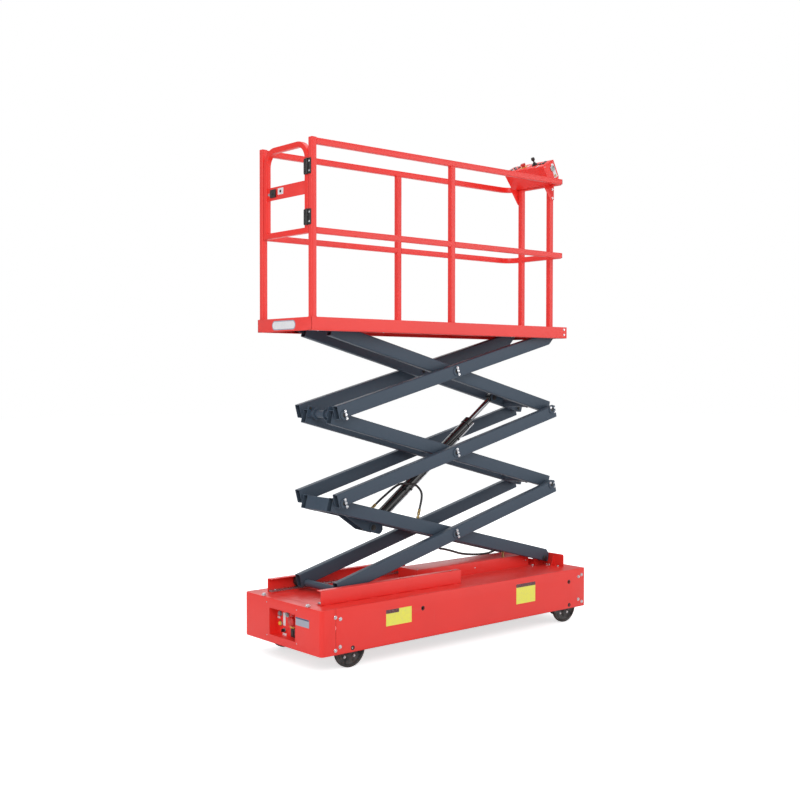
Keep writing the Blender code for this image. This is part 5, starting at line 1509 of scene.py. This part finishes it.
class LIFT_OT_platform(Maker):
    """The platform's frame, tread plate and end plate"""

    bl_idname = "lift.platform"
    bl_label = "Platform"
    steps = (platform_frame, platform_floor, platform_end, platform_fixings)


# ---- guard rails
HALF = 0.019  # of the tube's width
FLAT = 0.85  # share of it between the rounded corners
RAIL_WELD, FOOT_WELD_Z = 0.0026, 2.1958
RAIL_BEND = 0.100
LEFT_POST, END = -1.1725, 1.1305
MIDDLE_POST = {"near": 0.003, "far": -0.018}
END_POSTS = (-0.150, 0.140)
RAIL_Y = {"near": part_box("guard_rail_near")[0].y + HALF, "far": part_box("guard_rail_far")[1].y - HALF}
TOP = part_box("guard_rail_near")[1].z - HALF
LEVELS = (TOP, 2.749 - HALF)  # the middle lines of the top and middle rails


def square(half, corner):
    """The section of a square tube."""
    return rounded(rect(-half, -half, half, half), corner, 4)


def rail(piece, path, up=Z):
    piece.add(swept(square(HALF, settings().tube_corner), path, up))


def corner_beads(piece, face, *ways):
    """Beads along the four edges of a tube's end, in the plane of two directions."""
    for a, (one, other) in product((-HALF, HALF), (ways, ways[::-1])):
        bead(piece, [face + other * a + one * b * HALF * FLAT for b in WAYS], RAIL_WELD)


def rail_joint(piece, x, y, z, way):
    """Welds where a rail's end meets a post's side. way is the rail's direction from the post."""
    corner_beads(piece, Vector((x, y, z)) + way * HALF, way.cross(Z).normalized(), Z)


def post(piece, x, y, foot, top, under=True):
    """A post, with the weld under the rail that it carries unless its top is open."""
    rail(piece, [(x, y, foot), (x, y, top)], X)
    if under:
        corner_beads(piece, Vector((x, y, top)), X, Y)


def foot_bead(piece, x, y):
    """The weld round a post's foot."""
    bead(piece, [(x + a, y + b, FOOT_WELD_Z) for a, b in rect(-HALF, -HALF, HALF, HALF)], RAIL_WELD, True)


def cap(caps, place, way):
    """A plug in an open end of a tube."""
    shape = prism(square(HALF, settings().tube_corner), 0.0, 0.0030, "Z")
    caps.add(shape, edge=0.0012, place=facing(way, place))


def rail_side(name):
    """The posts of one side, with their welds, and the plug in the left one."""
    piece, caps, y, middle = Piece(), Piece(), RAIL_Y[name], MIDDLE_POST[name]
    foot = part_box("guard_rail_near")[0].z
    post(piece, LEFT_POST, y, foot, TOP + HALF, False)
    post(piece, middle, y, foot, TOP - HALF)
    for x in (LEFT_POST, middle):
        foot_bead(piece, x, y)
    for z in LEVELS:
        rail_joint(piece, LEFT_POST, y, z, X)
    for way in WAYS:
        rail_joint(piece, middle, y, LEVELS[1], X * way)
    cap(caps, (LEFT_POST, y, TOP + HALF), Z)
    return piece, caps, y, middle


def near_rail():
    piece, caps, y, middle = rail_side("near")
    start, stop = LEFT_POST + HALF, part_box("guard_rail_near")[1].x - 0.003
    for level, x0, x1 in ((0, start, stop), (1, start, middle - HALF), (1, middle + HALF, stop)):
        rail(piece, [(x0, y, LEVELS[level]), (x1, y, LEVELS[level])])
    plugs = Piece()
    for z in LEVELS:
        cap(plugs, (stop, y, z), X)
    piece.show("guard_rail_near_tubes", "red", "platform", "guard_rail_near")
    caps.show("guard_rail_near_cap", "red", "platform")
    plugs.show("guard_rail_near_plugs", "black plastic", "platform")


def far_rail():
    piece, caps, y, middle = rail_side("far")
    for place in END_POSTS:
        post(piece, END, place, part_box("platform_end_plate")[1].z + 0.0003, TOP - HALF)
        foot_bead(piece, END, place)
        for way in WAYS:
            rail_joint(piece, END, place, LEVELS[1], Y * way)
    bend = arc((END - RAIL_BEND, y - RAIL_BEND), RAIL_BEND, 90, 0, 14)
    end_y = RAIL_Y["near"] + HALF + 0.0006
    start, (near_post, far_post) = (LEFT_POST + HALF, y), END_POSTS
    for level, path in (
        (0, [start, *bend, (END, end_y)]),
        (1, [start, (middle - HALF, y)]),
        (1, [(middle + HALF, y), *bend, (END, far_post + HALF)]),
        (1, [(END, far_post - HALF), (END, near_post + HALF)]),
        (1, [(END, near_post - HALF), (END, end_y)]),
    ):
        rail(piece, [(a, b, LEVELS[level]) for a, b in path])
    for z, way in product(LEVELS, WAYS):
        bead(piece, [(x, end_y - 0.001, z + way * HALF) for x in (END - HALF * 0.9, 1.119)], 0.0024)
    piece.show("guard_rail_far_tubes", "red", "platform", "guard_rail_far")
    caps.show("guard_rail_far_cap", "red", "platform")


class LIFT_OT_rails(Maker):
    """The guard rails"""

    bl_idname = "lift.rails"
    bl_label = "Guard rails"
    steps = (near_rail, far_rail)


# ---- gate
GATE_TUBE, GATE_BEND = 0.035, 0.100
GATE_PLATE_Z = (2.959, 3.043)  # the plate that carries the latch


def gate():
    low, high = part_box("gate")
    x, half, bend = LEFT_POST, GATE_TUBE / 2, GATE_BEND
    near, far, top, bottom = low.y + half, high.y - half, high.z - half, low.z + half
    loop = [(near, bottom), *arc((near + bend, top - bend), bend, 180, 90, 12)]
    loop += [*arc((far - bend, top - bend), bend, 90, 0, 12), (far, bottom)]
    piece = Piece().add(swept(square(half, 0.0035), [(x, y, z) for y, z in loop], X, closed=True))
    piece.add(block((x - 0.003, x + 0.003), (near + half, far - half), GATE_PLATE_Z), edge=settings().edge)
    for y, face in product((near + half, far - half), WAYS):
        bead(piece, [(x + face * 0.004, y, z) for z in (GATE_PLATE_Z[0] + 0.002, GATE_PLATE_Z[1] - 0.002)], 0.0024)
    piece.show("gate_tubes", "red", "gate", "gate")


def gate_hinges():
    axis, leaf = joint_place("gate_hinge"), 0.004
    face = axis.x + 0.007 - leaf
    screws, moving = Piece(), Piece()
    for name in ("top", "bottom"):
        low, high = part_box(f"gate_hinge_{name}")
        rise = (high.z - low.z) / 3
        z0, z1, z2, z3 = low.z, low.z + rise, high.z - rise, high.z
        outline = rounded(rect(low.y, z0, axis.y, z3), (0.008, 0, 0, 0.008), 5)
        fixed = Piece().add(prism(outline, face - 0.0003, face + leaf - 0.0003, "X"), edge=0.0008)
        for z, radius, long, sides in (
            (z0, 0.007, rise - 0.0005, 28),
            (z2 + 0.0005, 0.007, rise - 0.0005, 28),
            (z0 - 0.002, 0.004, z3 - z0 + 0.004, 20),
        ):
            fixed.add(disc((axis.x, axis.y, z), Z, radius, long, sides=sides))
        fixed.show(f"hinge_{name}_fixed_leaf", "black plastic", "platform", f"gate_hinge_{name}")
        outline = rounded(rect(axis.y + 0.010, z0, axis.y + 0.040, z3), (0, 0.008, 0.008, 0), 5)
        moving.add(prism(outline, face, face + leaf, "X"), edge=0.0008)
        moving.add(block((face, face + leaf), (axis.y + 0.004, axis.y + 0.012), (z1, z2)))
        moving.add(disc((axis.x, axis.y, z1), Z, 0.0072, rise, sides=28))
        for z in (z0 + 0.020, z3 - 0.020):
            dome(screws, (face - 0.0003, axis.y - 0.020, z), -X, 0.0070)
            dome(moving, (face, axis.y + 0.026, z), -X, 0.0070)
    moving.show("hinge_moving_leaves", "black plastic", "gate")
    screws.show("hinge_screws", "zinc", "platform")


def gate_latch():
    x = LEFT_POST
    low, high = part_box("gate_latch")
    middle = (low.z + high.z) / 2
    case = Piece().add(block(*zip(low, high)), edge=0.003, steps=3)
    case.add(disc((low.x, (low.y + high.y) / 2, middle - 0.008), -X, 0.007, 0.004, sides=28))
    case.add(block((x + 0.003, x + 0.014), (low.y, high.y), (low.z + 0.004, high.z - 0.004)), edge=0.003)
    case.show("latch_case", "black plastic", "gate", "gate_latch")
    label("latch_plate", ((x - 0.0045, x - 0.003), (0.042, 0.102), (middle - 0.012, middle + 0.029)), "gate")
    dot = disc((x - 0.0045, 0.072, middle + 0.008), -X, 0.0090, 0.003, sides=28)
    Piece().add(dot).show("latch_slot", "black plastic", "gate")
    bright = Piece()
    bolt(bright, (x - 0.003, 0.203, middle - 0.002), -X, 0.0075)
    bright.add(disc((x + 0.009, high.y, middle), Y, 0.006, 0.080)).show("latch_bolts", "zinc", "gate")


class LIFT_OT_gate(Maker):
    """The gate with its hinges and latch"""

    bl_idname = "lift.gate"
    bl_label = "Gate"
    steps = (gate, gate_hinges, gate_latch)


# ---- console
WIDE = 0.200
KNOBS = 0.069  # the joystick's and the stop button's distance from the desk's front edge
DESK_FRONT, DESK_BACK = Vector((0.990, 0, 3.392)), Vector((1.112, 0, 3.457))
SLOPE = (DESK_BACK - DESK_FRONT).normalized()
DESK_UP = Vector((-SLOPE.z, 0, SLOPE.x))


def on_desk(along, y):
    """A place on the desk: along its slope from the front edge."""
    return DESK_FRONT + SLOPE * along + Y * y


def middle_y(node):
    """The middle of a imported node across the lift."""
    low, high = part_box(node)
    return (low.y + high.y) / 2


def console_body():
    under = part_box("console")[0].z
    slot = [(1.1064, under), (1.1064, 3.3031), (1.1546, 3.3031), (1.1546, under)]  # the end rail's
    outline = [(1.090, under), *slot, (1.162, under), (1.174, 3.336), (1.112, 3.457), (0.990, 3.392)]
    radii = (0.004, 0.001, 0.002, 0.002, 0.001, 0.002, 0.006, 0.005, 0.006)
    piece = Piece().add(prism(rounded(outline, radii, 5), -WIDE, WIDE), edge=0.0018, steps=3)
    piece.show("console_body", "red", "platform", "console")
    screws = Piece()
    for side, (x, z) in product(WAYS, ((1.020, 3.388), (1.092, 3.300), (1.108, 3.436), (1.160, 3.345))):
        dome(screws, (x, side * WIDE, z), Y * side, 0.0042)
    screws.show("console_screws", "zinc", "platform")


def joystick():
    boot = ((0, 0), (0, 0.024), (0.003, 0.024), (0.006, 0.020), (0.010, 0.021), (0.013, 0.016), (0.017, 0.017))
    stem = ((0.021, 0.011), (0.025, 0.012), (0.030, 0.006), (0.046, 0.006), (0.050, 0.011), (0.060, 0.014))
    knob = ((0.076, 0.0135), (0.083, 0.010), (0.085, 0))
    profile = [(along * 62 / 85, radius) for along, radius in (*boot, *stem, *knob)]
    stick = turned(profile, on_desk(KNOBS, middle_y("joystick")), DESK_UP, 36)
    Piece().add(stick).show("joystick_boot", "black plastic", "platform", "joystick")


def console_stop():
    place = on_desk(KNOBS, middle_y("console_stop_button"))
    stem, head = ((0, 0), (0, 0.012), (0.013, 0.012), (0.015, 0.017)), ((0.018, 0.020), (0.025, 0.020))
    button = Piece().add(turned((*stem, *head, (0.029, 0.016), (0.030, 0)), place, DESK_UP, 40))
    button.show("console_stop", "red plastic", "platform", "console_stop_button")
    collar = Piece().add(ring(place, DESK_UP, 0.030, 0.012, 0.002, 44))
    collar.show("console_stop_ring", "yellow plastic", "platform")


def desk():
    """Buttons, a rocker and blank labels on the desk."""
    grey, black, pale, bezels = Piece(), Piece(), Piece(), Piece()
    for place in ((0.045, 0.105), (0.085, 0.105), (0.045, 0.150), (0.085, 0.150), (0.100, -0.150)):
        bezels.add(ring(on_desk(*place), DESK_UP, 0.0125, 0.0095, 0.004))
        grey.add(disc(on_desk(*place), DESK_UP, 0.0092, 0.009, edge=0.002, sides=26))
    for y in (-0.128, -0.160):
        here = facing(DESK_UP, on_desk(0.060, y))
        black.add(block((-0.011, 0.011), (-0.008, 0.008), (0.0, 0.006)), edge=0.002, place=here)
        grey.add(block((-0.007, 0.007), (-0.005, 0.005), (0.005, 0.011)), edge=0.0015, place=here)
    for along, y, half in ((0.020, 0.128, 0.025), (0.020, -0.140, 0.025), (0.116, 0.0, 0.06)):
        here = facing(DESK_UP, on_desk(along, y)) @ Matrix.Rotation(pi / 2, 4, "Z")
        pale.add(prism(rounded(rect(-half, -0.006, half, 0.006), 0.002), 0.0, 0.0006, "Z"), place=here)
    bezels.show("console_bezels", "chrome", "platform")
    grey.show("console_buttons", "grey plastic", "platform")
    black.show("console_rockers", "black plastic", "platform")
    pale.show("console_labels", "white label", "platform")


def gauge():
    """A round gauge and a lamp on a pale blank plate at the near end."""
    y, dial, bulb = -WIDE, Vector((1.101, -WIDE, 3.388)), Vector((1.133, -WIDE, 3.339))
    outline = rounded([(1.083, 3.421), (1.109, 3.427), (1.160, 3.335), (1.126, 3.318)], 0.006, 4)
    back = Piece().add(prism(outline, y - 0.0012, y), edge=0.0003, steps=1)
    back.show("gauge_plate", "white label", "platform")
    bezel = Piece().add(ring(dial, -Y, 0.024, 0.020, 0.006, 44), ring(bulb, -Y, 0.0115, 0.0085, 0.005, 30))
    bezel.show("gauge_bezel", "steel", "platform")
    Piece().add(disc(dial, -Y, 0.0202, 0.004, sides=44)).show("gauge_face", "glass", "platform")
    marks = Piece()
    for turn in (radians(-30 + k * 30) for k in range(9)):
        mark = dial + Vector((0.015 * cos(turn), -0.004, 0.015 * sin(turn)))
        marks.add(disc(mark, -Y, 0.0011, 0.0004, sides=10))
    marks.add(pipe([dial - Y * 0.0046, dial + Vector((0.008, -0.0046, 0.011))], 0.0008, 6))
    marks.show("gauge_marks", "black plastic", "platform")
    profile = [(0, 0), (0, 0.0083), (0.004, 0.0083), (0.008, 0.0066), (0.010, 0.0033), (0.0104, 0)]
    Piece().add(turned(profile, bulb, -Y, 26)).show("console_lamp", "yellow plastic", "platform")


def console_brackets():
    bolts, (x0, x1) = Piece(), (1.1115, 1.1495)
    for name, side in SIDES.items():
        low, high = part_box(f"console_bracket_{name}")
        outline = [(low.x, 3.2695), (x0, low.z), (x1, low.z), (x1, 3.2595), (1.1100, 3.2595), (1.1100, 3.2695)]
        section = rounded(outline, (0.003, 0.006, 0.010, 0.001, 0.001, 0.001), 5)
        piece = Piece().add(prism(section, low.y, high.y), edge=0.0008)
        piece.show(f"console_bracket_{name}_plate", "red", "platform", f"console_bracket_{name}")
        for z in (3.172, 3.238):
            bolt(bolts, (1.1305, low.y if side < 0 else high.y, z), Y * side, 0.0065)
    bolts.show("console_bracket_bolts", "zinc", "platform")


class LIFT_OT_console(Maker):
    """The operator's console"""

    bl_idname = "lift.console"
    bl_label = "Console"
    steps = (console_body, joystick, console_stop, desk, gauge, console_brackets)


# ---- add-on
def register():
    for made in CLASSES:
        bpy.utils.register_class(made)
    bpy.types.Scene.lift_settings = bpy.props.PointerProperty(type=LiftSettings)


def unregister():
    del bpy.types.Scene.lift_settings
    for made in reversed(CLASSES):
        bpy.utils.unregister_class(made)


OPERATORS = (
    LIFT_OT_stage, LIFT_OT_hoses, LIFT_OT_fittings, LIFT_OT_covers, LIFT_OT_undercarriage,
    LIFT_OT_tracks, LIFT_OT_controls, LIFT_OT_wheels, LIFT_OT_arms, LIFT_OT_rollers,
    LIFT_OT_cylinder, LIFT_OT_platform, LIFT_OT_rails, LIFT_OT_gate, LIFT_OT_console,
)


class LIFT_PT_panel(bpy.types.Panel):
    """The lift's operators and settings"""

    bl_idname = "LIFT_PT_panel"
    bl_label = "Scissor lift"
    bl_space_type = "VIEW_3D"
    bl_region_type = "UI"
    bl_category = "Lift"

    def draw(self, context):
        for made in OPERATORS:
            self.layout.operator(made.bl_idname)
        for name in LiftSettings.__annotations__:
            self.layout.prop(context.scene.lift_settings, name)


CLASSES = (LiftSettings, *OPERATORS, LIFT_PT_panel)


def main():
    register()
    for made in OPERATORS:
        group, name = made.bl_idname.split(".")
        getattr(getattr(bpy.ops, group), name)()


if __name__ == "__main__":
    main()
